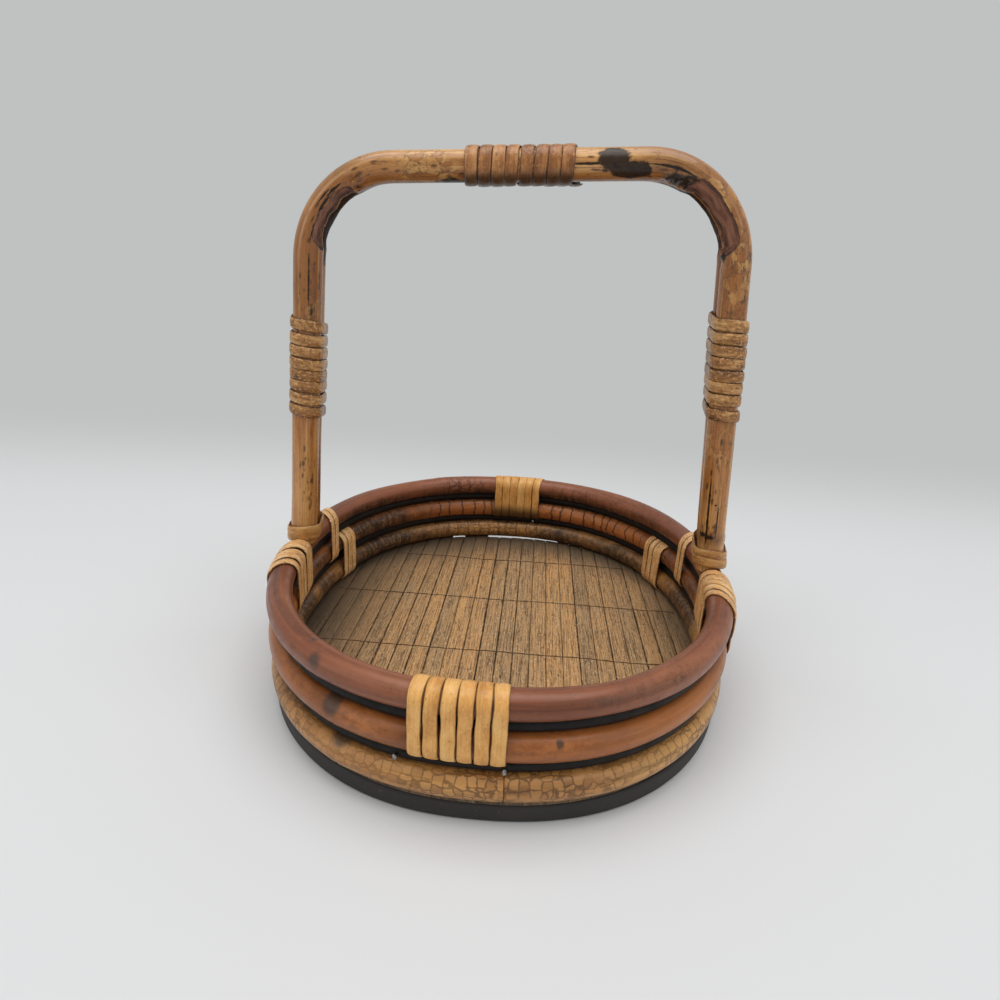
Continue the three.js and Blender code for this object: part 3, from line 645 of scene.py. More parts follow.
def peel_finish(name, tones, speckle):
    """Rattan peel: fine fibres along the strip, tone by turn, dark edges, and specks where it is worn."""
    f = Finish(name, flat=True)
    dark, _, pale = tones
    fibre = f.fibres(30, 2200, 3, 0.65)
    drift = f.fibres(110, 260, 5, 0.65)
    dots = f.fibres(560, 760, 4, 0.75, offset=(3, 2, 0))
    worn = f.fibres(640, 860, 3, 0.7, offset=(8, 6, 0))
    tone = f.blend(drift, f.value("tone"), 0.28)
    rim = f.plus(f.value("edge"), f.times(f.minus(drift, 0.5), 0.12))
    colour = f.tinted(
        f.ramp(tone, *zip((0.36, 0.5, 0.64), tones)),
        (fibre, 0.48, 0.7, 0.2 + 0.3 * speckle, toned(dark, 0.68)),
        (rim, 0.84, 0.98, 0.6 + 0.25 * speckle, toned(dark, 0.38)),
        (dots, 0.62 - speckle * 0.08, 0.7 - speckle * 0.07, 0.7, toned(dark, 0.5)),
        (worn, 0.58 - speckle * 0.05, 0.68 - speckle * 0.05, 0.25 + 0.4 * speckle, toned(pale, 1.1)),
    )
    colour = f.mix(f.times(f.ragged("shade", drift, 0.5, 0.4, 0.95), 0.86), colour, toned(dark, 0.28))
    rough = f.span(dots, 0.3, 0.7, 0.26, 0.48)
    normal = f.bump(f.plus(f.times(fibre, 0.6), f.times(dots, 0.8)), 0.22 * MM, 0.8)
    coat = 0.1 + 0.1 * speckle
    return f.finish(colour, rough, normal, Specular_IOR_Level=0.3, Coat_Weight=coat, Coat_Roughness=0.16)


def slat_finish():
    """Split bamboo: streaks along the slat, a tone of its own and worn pale specks.
    It is darker near the hoops and towards the left and the back.
    """
    f = Finish("bamboo_slat", flat=True)
    streak = f.fibres(36, 1700, 5, 0.75)
    drift = f.fibres(20, 110, 4, 0.6)
    dash = f.fibres(150, 900, 5, 0.8, offset=(4, 2, 0))
    worn = f.fibres(420, 1100, 4, 0.8, offset=(9, 5, 0))
    tone = f.blend(drift, f.value("tone"), 0.5)
    stops = (0.2, (148, 120, 88)), (0.42, (186, 147, 102)), (0.62, (212, 160, 102)), (0.85, (198, 170, 130))
    colour = f.tinted(
        f.ramp(tone, *stops),
        (streak, 0.46, 0.6, 0.8, (92, 67, 45)),
        (dash, 0.54, 0.63, 0.7, (66, 47, 32)),
        (worn, 0.53, 0.64, 0.75, (226, 206, 170)),
    )
    broken = f.span(f.fibres(190, 500, 3, offset=(2, 7, 0)), 0.34, 0.52)
    joint = f.times(f.span(f.value("edge"), 0.82, 0.95), broken)
    colour = f.mix(f.times(joint, 0.9), colour, (40, 29, 21))
    # The stain values make the slats darker near the hoops and towards the left and the back.
    colour = f.mix(f.times(f.ragged("stain", drift, 0.45, 0.45, 1.25), 0.75), colour, (80, 71, 60))
    colour = f.tinted(colour, (f.value("stain"), 0.85, 1.6, 0.75, (44, 38, 32)))
    height = f.minus(f.times(streak, 0.6), f.span(dash, 0.56, 0.66))
    normal = f.bump(height, 0.25 * MM, 0.7)
    return f.finish(colour, f.span(worn, 0.3, 0.7, 0.45, 0.68), normal, Specular_IOR_Level=0.25)


def thread_finish():
    f = Finish("weft_thread")
    twist = f.fibres(1400, 900)
    colour = f.ramp(twist, (0.35, (74, 55, 38)), (0.65, (118, 92, 66)))
    return f.finish(colour, f.span(twist, 0.3, 0.7, 0.75, 0.9), f.bump(twist, 0.15 * MM, 0.8))


def board_finish():
    """Matte black stain with dust specks."""
    f = Finish("board_black")
    drift = f.noise(f.place(30, 30, 30), 5, 0.6)
    fine = f.noise(f.place(500, 60, 500), 3)
    dust = f.noise(f.place(900, 900, 900))
    colour = f.ramp(drift, (0.35, (27, 25, 24)), (0.7, (52, 47, 43)))
    colour = f.tinted(colour, (dust, 0.72, 0.78, 0.5, (150, 140, 128)))
    return f.finish(colour, f.span(drift, 0.3, 0.7, 0.5, 0.7), f.bump(fine, 0.15 * MM, 0.5))


def steel_finish(name, shade, roughness):
    f = Finish(name)
    scratch = f.noise(f.place(400, 2500, 2500), 3)
    tarnish = f.noise(f.place(700, 700, 700), 4)
    colour = f.ramp(tarnish, (0.35, toned(shade, 0.55)), (0.65, shade))
    rough = f.span(scratch, 0.3, 0.7, roughness - 0.08, roughness + 0.12)
    return f.finish(colour, rough, f.bump(scratch, 0.05 * MM, 0.5), Metallic=1.0)


# Hoops and fillers

HOOP_STEP = 1.4 * MM
HOOP_SIDES = 40
HOOP_WANDER = 0.012
BACK_SWELL = 0.05
NODE_SWELL, NODE_REACH = 0.045, 4 * MM
NODE_GROOVE, GROOVE_REACH = 0.05, 0.8 * MM
FILLER_SIDES = 18
FILLER_SEEN_RADIUS = 2.7 * MM
FILLER_SET_BACK = 1.3 * MM
HOOP_FIELDS = ("stain", "glow", "rings", "crackle", "dusk")


def hoop_stations(seam):
    return cane_stations(seam + SEAM_GAP / 2, seam + hoop_line.length - SEAM_GAP / 2, HOOP_STEP)


def hoop(name, seam, level, material, seed, nodes, stout=(), **marks):
    """One bent cane with its butt seam, low swellings at its nodes, stouter places and marks."""
    rng = np.random.default_rng(seed)
    distance = hoop_stations(seam)
    angle = ring_angles(HOOP_SIDES)
    swell = HOOP_WANDER * ripple(rng, distance, 90 * MM) + BACK_SWELL * back_share(hoop_line.point(distance))
    for place in nodes:
        gap = round_gap(distance, place)
        swell += NODE_SWELL * bell(gap, NODE_REACH) - NODE_GROOVE * bell(gap, GROOVE_REACH)
    for place, half_length, share in stout:
        swell += share * bell(round_gap(distance, place), half_length)
    flats = HOOP_WANDER * np.cos(2 * angle[None] + 0.7 * ripple(rng, distance, 160 * MM)[:, None])
    radius = HOOP_RADIUS * (end_easing(distance) + swell)[:, None] * (1 + flats)
    attributes = {"grain": grain_of(distance, angle, radius)}
    for field in HOOP_FIELDS:
        attributes[field] = mark_field(distance, angle, HOOP_RADIUS, marks.get(field, []), closed=True)
    return sweep(name, tube_rings(hoop_frames(distance, level), angle, radius), material, attributes)


def filler(name, seam, level, material, reliefs, relief_angle):
    """Thin dark cane between two hoops, let in where strips pass between it and the middle hoop."""
    distance = hoop_stations(seam)
    angle = ring_angles(FILLER_SIDES)
    radius = np.full((len(distance), len(angle)), FILLER_SEEN_RADIUS)
    strip_reach = HOOP_RADIUS + STRIP_THICKNESS + 2 * CLEARANCE
    relieved = cut_radius(radius, angle[None], relief_angle, HOOP_PITCH / 2, strip_reach)
    for middle, turns in reliefs:
        inside = np.abs(round_gap(distance, middle)) < winding_length(turns) / 2
        radius = np.where(inside[:, None], relieved, radius)
    radius = radius * end_easing(distance)[:, None]
    frames = hoop_frames(distance, level)
    frames = frames._replace(centre=frames.centre + np.array([0, FILLER_SET_BACK, 0]))
    attributes = {field: np.zeros_like(radius) for field in HOOP_FIELDS}
    attributes["grain"] = grain_of(distance, angle, radius)
    return sweep(name, tube_rings(frames, angle, radius), material, attributes)


# Windings

STRIP_SECTION = np.array(
    [(-1, 0.3), (-0.94, 0.62), (-0.75, 0.88), (-0.35, 1.02), (0, 1.06), (0.35, 1.02)]
    + [(0.75, 0.88), (0.94, 0.62), (1, 0.3), (0.85, 0), (0, 0), (-0.85, 0)]
)
STRIP_LIFT = 0.22 * MM
STRIP_WANDER = 0.07 * MM
LIFT_WANDER = 0.06 * MM
END_TAPER = 3 * MM
END_THICKNESS = 0.45
LOOP_STEPS = 60


def winding_length(turns):
    return turns * STRIP_PITCH + STRIP_WIDTH + 2 * CLEARANCE


def loop_place(share, radius, spacing):
    """Place and outward direction, in first and second, at a share of the way round two canes."""
    half_turn = math.pi * radius
    gone = np.mod(share, 1) * (2 * half_turn + 2 * spacing)
    upper = np.clip(gone / half_turn, 0, 1) * math.pi
    down = np.clip(gone - half_turn, 0, spacing)
    lower = np.clip((gone - half_turn - spacing) / half_turn, 0, 1) * math.pi
    up = np.clip(gone - 2 * half_turn - spacing, 0, spacing)
    turn = upper + lower
    outward = np.stack([np.cos(turn), np.sin(turn)], axis=-1)
    centre = spacing / 2 - down + up
    return outward * radius + np.stack([np.zeros_like(centre), centre], axis=-1), outward


def eased_steps(rng, place):
    """Random values at whole places, eased between them."""
    values = rng.uniform(-1, 1, int(place.max()) + 2)
    below = np.floor(place).astype(int)
    share = eased(place - below)
    return values[below] * (1 - share) + values[below + 1] * share


def staircase(turn, run=0.2):
    """Turns gone, each step taken within a share of a turn before and after the whole numbers."""
    nearest = np.round(turn)
    return nearest - 0.5 + eased(np.clip((turn - nearest + run) / (2 * run), 0, 1))


# How a strip is wound. Its turns have a pitch and a width, and cross one face of the canes (out, in or
# front) more or less squarely (square) and narrower (pinch). They draw together on the inside (fan), slant
# from first to last (lean), sag on both sides (saddle), stray (jumble) and climb over each other (overlap).
# Little light reaches them on one side, in first and second (shade), and the first and last turns stand
# off (ends).
Wrap = namedtuple(
    "Wrap",
    "pitch width face square pinch fan lean saddle jumble overlap shade ends",
    defaults=(0.0, 0.0, 0.0, (0, 0), 0.0, 0.0, 0.0, (0, 0), (0, 0)),
)


def winding(name, material, seed, frames_at, middle, turns, canes, wrap, inside=False):
    """One unbroken flat strip round two canes of a radius and a spacing, its ends outside or inside."""
    rng = np.random.default_rng(seed)
    cane_radius, spacing = canes
    radius = cane_radius + STRIP_LIFT
    half_turn = math.pi * radius
    whole = 2 * half_turn + 2 * spacing
    faces = {"out": -spacing / 2, "in": half_turn + spacing / 2, "front": 1.5 * half_turn + spacing}
    start = faces["in" if inside else "out"] / whole
    lag = start - faces[wrap.face] / whole
    gone = np.linspace(0, turns, turns * LOOP_STEPS + 1)
    strip = gone * whole
    place, outward = loop_place(start + gone, radius, spacing)
    outness = outward[:, 0]
    facing = np.clip(-outness if wrap.face == "in" else outness, 0, 1)
    slant = np.interp(gone, [0, turns], wrap.lean)
    stepped = staircase(lag + gone + 0.5) - 0.5 - lag
    step = gone + wrap.square * (stepped - gone) - turns / 2
    along = step * wrap.pitch * (1 + wrap.fan * outness) + slant * outness + wrap.saddle * outness**2
    along = along + wrap.jumble * eased_steps(rng, 2 * gone) + STRIP_WANDER * ripple(rng, strip, 80 * MM)
    first_turn, last_turn = np.clip(1 - gone, 0, 1), np.clip(gone - turns + 1, 0, 1)
    along = along - wrap.ends[0] * first_turn + wrap.ends[1] * last_turn
    frames = frames_at(middle + along)
    half_width = wrap.width / 2 * (1 + 0.8 * wrap.fan * outness + 0.02 * ripple(rng, strip, 60 * MM))
    half_width = half_width * (1 - wrap.pinch * facing**2 * (1 + 0.5 * eased_steps(rng, gone)))
    lift = LIFT_WANDER * (1 + ripple(rng, strip, 40 * MM)) + wrap.overlap * gone
    lift = lift + 0.25 * wrap.jumble * (1 + eased_steps(rng, 2 * gone))
    ends = np.clip(np.minimum(gone, turns - gone) * whole / END_TAPER, 0, 1)
    thickness = STRIP_THICKNESS * (END_THICKNESS + (1 - END_THICKNESS) * ends)
    normal = outward[:, :1] * frames.first + outward[:, 1:] * frames.second
    centre = frames.centre + place[:, :1] * frames.first + place[:, 1:] * frames.second
    left_edge, right_edge = (STRIP_WANDER * ripple(rng, strip, 11 * MM)[:, None] for _ in range(2))
    across = STRIP_SECTION[None, :, 0]
    x = across * half_width[:, None] + np.where(across < 0, left_edge, right_edge) * across**2
    h = STRIP_SECTION[None, :, 1] * thickness[:, None] + lift[:, None]
    rings = centre[:, None] + normal[:, None] * h[..., None] + frames.along[:, None] * x[..., None]
    tones = rng.uniform(0.3, 0.7, turns + 2)
    tone = tones[np.floor(lag + gone + 1.5).astype(int) % len(tones)]
    shade = np.clip(place / (radius, radius + spacing / 2) @ wrap.shade, 0, 1)
    attributes = {
        "grain": np.stack([np.broadcast_to(strip[:, None], x.shape) + seed, x, h], axis=-1),
        "tone": np.broadcast_to(tone[:, None], x.shape),
        "edge": np.broadcast_to(np.abs(across), x.shape),
        "shade": np.broadcast_to(shade[:, None], x.shape),
    }
    return sweep(name, rings, material, attributes, sharp=70)


# Handle

HANDLE_STEP = 0.8 * MM
HANDLE_SIDES = 96
HANDLE_WANDER = 0.012
HANDLE_FLATS = 0.014
HANDLE_FIELDS = ("stain", "fleck", "flake", "pale", "dim")
COPED_RINGS = 6

# Hollows, by the cane's face: -1 is the front cane and 1 the rear one
SCOOP_SIZE = 12 * MM
SCOOP_FLOORS = {-1: 1.1 * MM, 1: 4.2 * MM}
SCOOP_TURNS = {-1: (math.radians(13), math.radians(28)), 1: (math.radians(11), math.radians(11))}
SCOOP_LEG_INSET = 3 * MM
SCOOP_BAR_INSET = 18 * MM
SCOOP_LEG_RUN_OUT = 7 * MM
SCOOP_BAR_RUN_OUT = 6 * MM
SCOOP_START = 1.02
SCOOP_ROUGHNESS = 0.35 * MM
LUMP_HALF_LENGTH = 1.3 * MM
LUMPS_PER_LENGTH = 4


def scoop_floor(distance, leg_end, bar_end, full, deepest):
    """How far from the cane's middle the hollow of one bend lies. It ends more steeply at the bar."""
    towards_bar = math.copysign(1, bar_end - leg_end)
    from_leg = (distance - leg_end) * towards_bar - SCOOP_LEG_INSET
    from_bar = (bar_end - distance) * towards_bar - SCOOP_BAR_INSET
    share = np.clip(np.minimum(from_leg / SCOOP_LEG_RUN_OUT, from_bar / SCOOP_BAR_RUN_OUT), -1, 1)
    return full + (deepest - full) * np.where(share > 0, eased(share), share)


def lumps(rng, distance, angle, cane_radius, knots):
    """Crumpled places on a cane. Each knot is a place along and around, its half length and half width,
    how wide one crease is and how high it stands."""
    height = np.zeros((len(distance), len(angle)))
    for place, around, half_length, half_width, crease, rise in knots:
        for count in range(int(half_length / LUMP_HALF_LENGTH) * LUMPS_PER_LENGTH):
            along = place + half_length * rng.uniform(-1, 1)
            turn = around + math.degrees(half_width / cane_radius) * rng.uniform(-1, 1)
            mark = (along, turn, LUMP_HALF_LENGTH * rng.uniform(0.8, 1.3), crease, 1.0)
            height += (rise if count % 2 else -rise) * mark_field(distance, angle, cane_radius, [mark])
    return height


def handle_cane(name, face, cane_radius, material, seed, knots=(), **marks):
    """One arched cane, hollowed inside its bends and coped onto the upper hoop."""
    rng = np.random.default_rng(seed)
    distance = cane_stations(0, handle_line.length, HANDLE_STEP)
    angle = ring_angles(HANDLE_SIDES)
    swell = 1 + HANDLE_WANDER * ripple(rng, distance, 70 * MM)
    flats = HANDLE_FLATS * np.cos(2 * angle[None] + 0.8 * ripple(rng, distance, 130 * MM)[:, None])
    full = cane_radius * swell[:, None] * (1 + flats)
    radius = full
    for (leg_end, bar_end), turn in zip((LEFT_BEND, RIGHT_BEND[::-1]), SCOOP_TURNS[face]):
        rough = SCOOP_ROUGHNESS * ripple(rng, distance, 13 * MM)
        floor = scoop_floor(distance, leg_end, bar_end, SCOOP_START * cane_radius, SCOOP_FLOORS[face])
        floor = floor + np.where(floor < cane_radius, rough * (1 - floor / cane_radius), 0)
        cut_angle = -math.pi / 2 + face * turn
        radius = cut_radius(radius, angle[None], cut_angle, (floor + SCOOP_SIZE)[:, None], SCOOP_SIZE)
    scoop = 1 - radius / full
    radius = radius + lumps(rng, distance, angle, cane_radius, knots)
    frames = handle_frames(distance)
    centre = frames.centre + frames.second * face * SEEN_SPACING / 2
    rings = tube_rings(frames._replace(centre=centre), angle, radius)
    for end, inner in ((0, slice(0, COPED_RINGS)), (-1, slice(-COPED_RINGS, None))):
        off = np.clip(np.abs(rings[end, :, 0]) - HALF_WIDTH, -HOOP_RADIUS, HOOP_RADIUS)
        seat = UPPER_HEIGHT + np.sqrt((HOOP_RADIUS + CLEARANCE) ** 2 - off**2)
        rings[inner, :, 2] = np.maximum(rings[inner, :, 2], seat[None])
    attributes = {"grain": grain_of(distance, angle, radius) + seed, "scoop": scoop}
    for field in HANDLE_FIELDS:
        attributes[field] = mark_field(distance, angle, cane_radius, marks.get(field, []))
    return sweep(name, rings, material, attributes, sharp=40)


# Floor

SLAT_SECTION = np.array(
    [(-1, 0), (-1, 0.8), (-0.985, 0.92), (-0.94, 0.97), (-0.5, 0.99), (0, 1)]
    + [(0.5, 0.99), (0.94, 0.97), (0.985, 0.92), (1, 0.8), (1, 0)]
)
SLAT_STEPS = 60
SLAT_SEED = 500
SHORT_SLAT_TRIMS = {8: 4.8, 11: 5.4, 12: 5.4, 13: 5.0, 14: 4.6, 15: 4.2, 16: 3.6}
MAT_REACH = 1 * MM
SLAT_LIFT = 0.2 * MM
JOINT = 0.14 * MM
EDGE_WANDER = 0.012
SLAT_PITCH = 2 * (HALF_WIDTH - MAT_SIDE_INSET) / SLAT_COUNT
DARKENING_REACH = 26 * MM
DARKENING_LEFT = 0.5
DARKENING_BACK = 0.45
THREAD_SEED = 700
THREAD_STEPS = 260
THREAD_SIDES = 8
THREAD_RADIUS = 0.2 * MM
THREAD_SINK = 0.45 * MM
THREAD_DIP = 0.1 * MM
THREAD_WANDER = 0.4 * MM


def floor_slat(number, material):
    """One split bamboo slat, crowned, with a tone of its own, wandering edges and ends cut to the oval."""
    rng = np.random.default_rng(SLAT_SEED + number)
    middle = (number - (SLAT_COUNT + 1) / 2) * SLAT_PITCH
    half = (SLAT_PITCH - JOINT) / 2
    left = -HALF_WIDTH if number == 1 else middle - half
    right = HALF_WIDTH if number == SLAT_COUNT else middle + half
    share = np.linspace(0, 1, SLAT_STEPS + 1)[:, None]
    side = SLAT_SECTION[None, :, 0]
    across = side * (1 - np.abs(EDGE_WANDER * ripple(rng, share, 0.4)))
    x = (left + right) / 2 + (right - left) / 2 * across
    depth = oval_depth(x, HALF_WIDTH + MAT_REACH, HALF_DEPTH + MAT_REACH)
    back = depth - SHORT_SLAT_TRIMS.get(number, 0) * MM
    y = -depth + (back + depth) * share
    thickness = MAT_TOP + SLAT_LIFT - MAT_BOTTOM - rng.uniform(0, 0.1) * MM
    waves = 1 + 0.02 * ripple(rng, y, 60 * MM)
    z = MAT_BOTTOM + SLAT_SECTION[None, :, 1] * thickness * np.minimum(waves, 1.0)
    # Darker near the hoops and towards the left and the back, passed to the material as stain values.
    near_rim = oval_depth(x, HALF_WIDTH - HOOP_RADIUS, HALF_DEPTH - HOOP_RADIUS) - np.abs(y)
    side_gap = HALF_WIDTH - HOOP_RADIUS - np.abs(x)
    slat_darkening = np.exp(-np.clip(np.minimum(near_rim, side_gap), 0, None) / DARKENING_REACH)
    slat_darkening = slat_darkening + DARKENING_LEFT * np.clip(-x / HALF_WIDTH, 0, 1)
    slat_darkening = slat_darkening + DARKENING_BACK * np.clip(y / HALF_DEPTH, 0, 1) ** 2
    strength = np.where(side < 0, rng.uniform(0.82, 1), rng.uniform(0.82, 1))
    attributes = {
        "grain": np.stack([y, x, z], axis=-1) + number,
        "tone": np.full(x.shape, rng.uniform(0.2, 0.8)),
        "stain": slat_darkening,
        "edge": np.broadcast_to(np.abs(side) * strength, x.shape),
    }
    attributes = {key: values[:, ::-1] for key, values in attributes.items()}
    rings = np.stack([x, y, z], axis=-1)[:, ::-1]
    return sweep(f"floor_slat_{number:02d}", rings, material, attributes, sharp=35)


def weft_thread(number, material):
    """Thin thread across the slats that dips a little at each joint between them."""
    name = f"weft_thread_{number}"
    low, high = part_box(name)
    _, y, rest = box_middle(name)
    rng = np.random.default_rng(THREAD_SEED + number)
    x = np.linspace(low.x, high.x, THREAD_STEPS)
    angle = ring_angles(THREAD_SIDES)
    height = rest - THREAD_SINK - THREAD_DIP * np.cos(math.tau * x / SLAT_PITCH)
    centre = np.column_stack([x, y + THREAD_WANDER * ripple(rng, x, 60 * MM), height])
    along, back, up = (np.tile(axis, (len(x), 1)) for axis in np.eye(3))
    radius = np.full((len(x), len(angle)), THREAD_RADIUS) * (1 + 0.12 * ripple(rng, x, 4 * MM)[:, None])
    rings = tube_rings(Frames(centre, along, up, back), angle, radius)
    return sweep(name, rings, material, {"grain": grain_of(x, angle, radius)})


# Board and nails

BOARD_SEED = 41
BOARD_STEPS = 256
BOARD_WANDER = 0.12 * MM
ROUND_STEPS = 6
RECESS_RADIUS = 2.5 * MM
RECESS_DEPTH = 3.4 * MM
NAIL_RADIUS = 1 * MM
BRAD_RADIUS = 1.3 * MM
BRAD_CROWN = 0.8 * MM
BRAD_SHANK = 0.6 * MM
BRAD_FLATNESS = 0.65


def base_board(material, nail_places):
    """Black board with eased edges and a round recess under each nail head."""
    turn = np.linspace(0, math.pi / 2, ROUND_STEPS)
    inset = BASE_EDGE_ROUND * (1 - np.cos(turn))[::-1]
    rise = BASE_EDGE_ROUND * (1 - np.sin(turn))[::-1]
    lower_edge = list(zip(inset, rise))
    upper_edge = [(step_in, BASE_TOP - height) for step_in, height in lower_edge[::-1]]
    angle = ring_angles(BOARD_STEPS)
    rough = BOARD_WANDER * ripple(np.random.default_rng(BOARD_SEED), angle, 1.0)
    rings = []
    for step_in, height in lower_edge + upper_edge:
        half_width, half_depth = HALF_WIDTH + BASE_SIDE_REACH - step_in, HALF_DEPTH + BASE_END_REACH - step_in
        outline = oval_points(angle, half_width, half_depth) * (1 + rough / HALF_WIDTH)[:, None]
        rings.append(np.column_stack([outline, np.full(len(angle), height)]))
    board = sweep("base_board", np.array(rings), material, {})
    for x, y in nail_places:
        bpy.ops.mesh.primitive_cylinder_add(
            vertices=32, radius=RECESS_RADIUS, depth=RECESS_DEPTH, location=(x, y, 0)
        )
        drill = bpy.context.object
        cut = board.modifiers.new("recess", "BOOLEAN")
        cut.object = drill
        bpy.context.view_layer.objects.active = board
        bpy.ops.object.modifier_apply(modifier=cut.name)
        bpy.data.objects.remove(drill)
    return board


def turned(name, material, profile, base, axis, sides=28, flatness=1.0):
    """Solid of revolution from pairs of radius and distance along the axis."""
    axis = unit(np.asarray(axis, float))
    helper = np.array([axis[1], axis[2], axis[0]])
    u = unit(np.cross(helper, axis))
    v = np.cross(axis, u)
    angle = ring_angles(sides)
    circle = np.cos(angle)[:, None] * u + flatness * np.sin(angle)[:, None] * v
    rings = np.array([np.asarray(base) + axis * d + r * circle for r, d in profile])
    return sweep(name, rings, material, {}, sharp=40)


def base_nail(name, material):
    low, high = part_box(name)
    x, y, _ = box_middle(name)
    head, length = (high.x - low.x) / 2, high.z - low.z
    profile = [
        (head - 0.3 * MM, 0),
        (head, 0.25 * MM),
        (head, 0.8 * MM),
        (NAIL_RADIUS, 1 * MM),
        (NAIL_RADIUS, length - 1 * MM),
        (0.4 * MM, length),
    ]
    return turned(name, material, profile, (x, y, low.z), (0, 0, 1))


def brad(name, material, distance, face):
    """Domed brad head on the lower filler, its shank driven in. Face is -1 inside the basket."""
    place = hoop_frames(np.array([distance]), BRAD_LEVEL)
    out = place.first[0] * face
    base = place.centre[0] + out * (FILLER_RADIUS + CLEARANCE)
    crown = [(BRAD_RADIUS * math.cos(t), -BRAD_CROWN * math.sin(t)) for t in np.linspace(1.45, 0, 8)]
    shank = [(BRAD_SHANK, 0.02 * MM), (BRAD_SHANK, 3.6 * MM), (0.25 * MM, 4.2 * MM)]
    return turned(name, material, crown + shank, base, -out, flatness=BRAD_FLATNESS)


# Build

# Degrees around a hoop at which it faces into the basket
INNER = -90

# Turns and middles of the windings
BINDING_TURNS = 6
FRONT_LASHING_TURNS = 5
REAR_LASHING_TURNS = 2
LEFT_LOWER_TURNS = 3
RIGHT_LOWER_TURNS = 4
LEG_BINDING_TURNS = 8
FOOT_BAND_TURNS = 2
FRONT_BINDING = FRONT - 6.8 * MM
BACK_BINDING = BACK - 3.2 * MM
LEG_HALF_DEPTH = CANE_SPACING / 2 + HANDLE_RADIUS
FRONT_LASHING = LEG_HALF_DEPTH + 1.6 * MM + winding_length(FRONT_LASHING_TURNS) / 2
REAR_LASHING = LEG_HALF_DEPTH + 9 * MM + winding_length(REAR_LASHING_TURNS) / 2
REAR_LASHING_END = REAR_LASHING + winding_length(REAR_LASHING_TURNS) / 2
LEFT_LOWER = LEFT - (REAR_LASHING_END + 1.5 * MM + winding_length(LEFT_LOWER_TURNS) / 2 - 6.5 * MM)
RIGHT_LOWER = RIGHT + (REAR_LASHING_END + 11 * MM + winding_length(RIGHT_LOWER_TURNS) / 2)
LEFT_FRONT = LEFT + FRONT_LASHING
RIGHT_FRONT = RIGHT - FRONT_LASHING
LEFT_REAR = LEFT - (REAR_LASHING - 1.2 * MM)
RIGHT_REAR = RIGHT + (REAR_LASHING + 0.6 * MM)


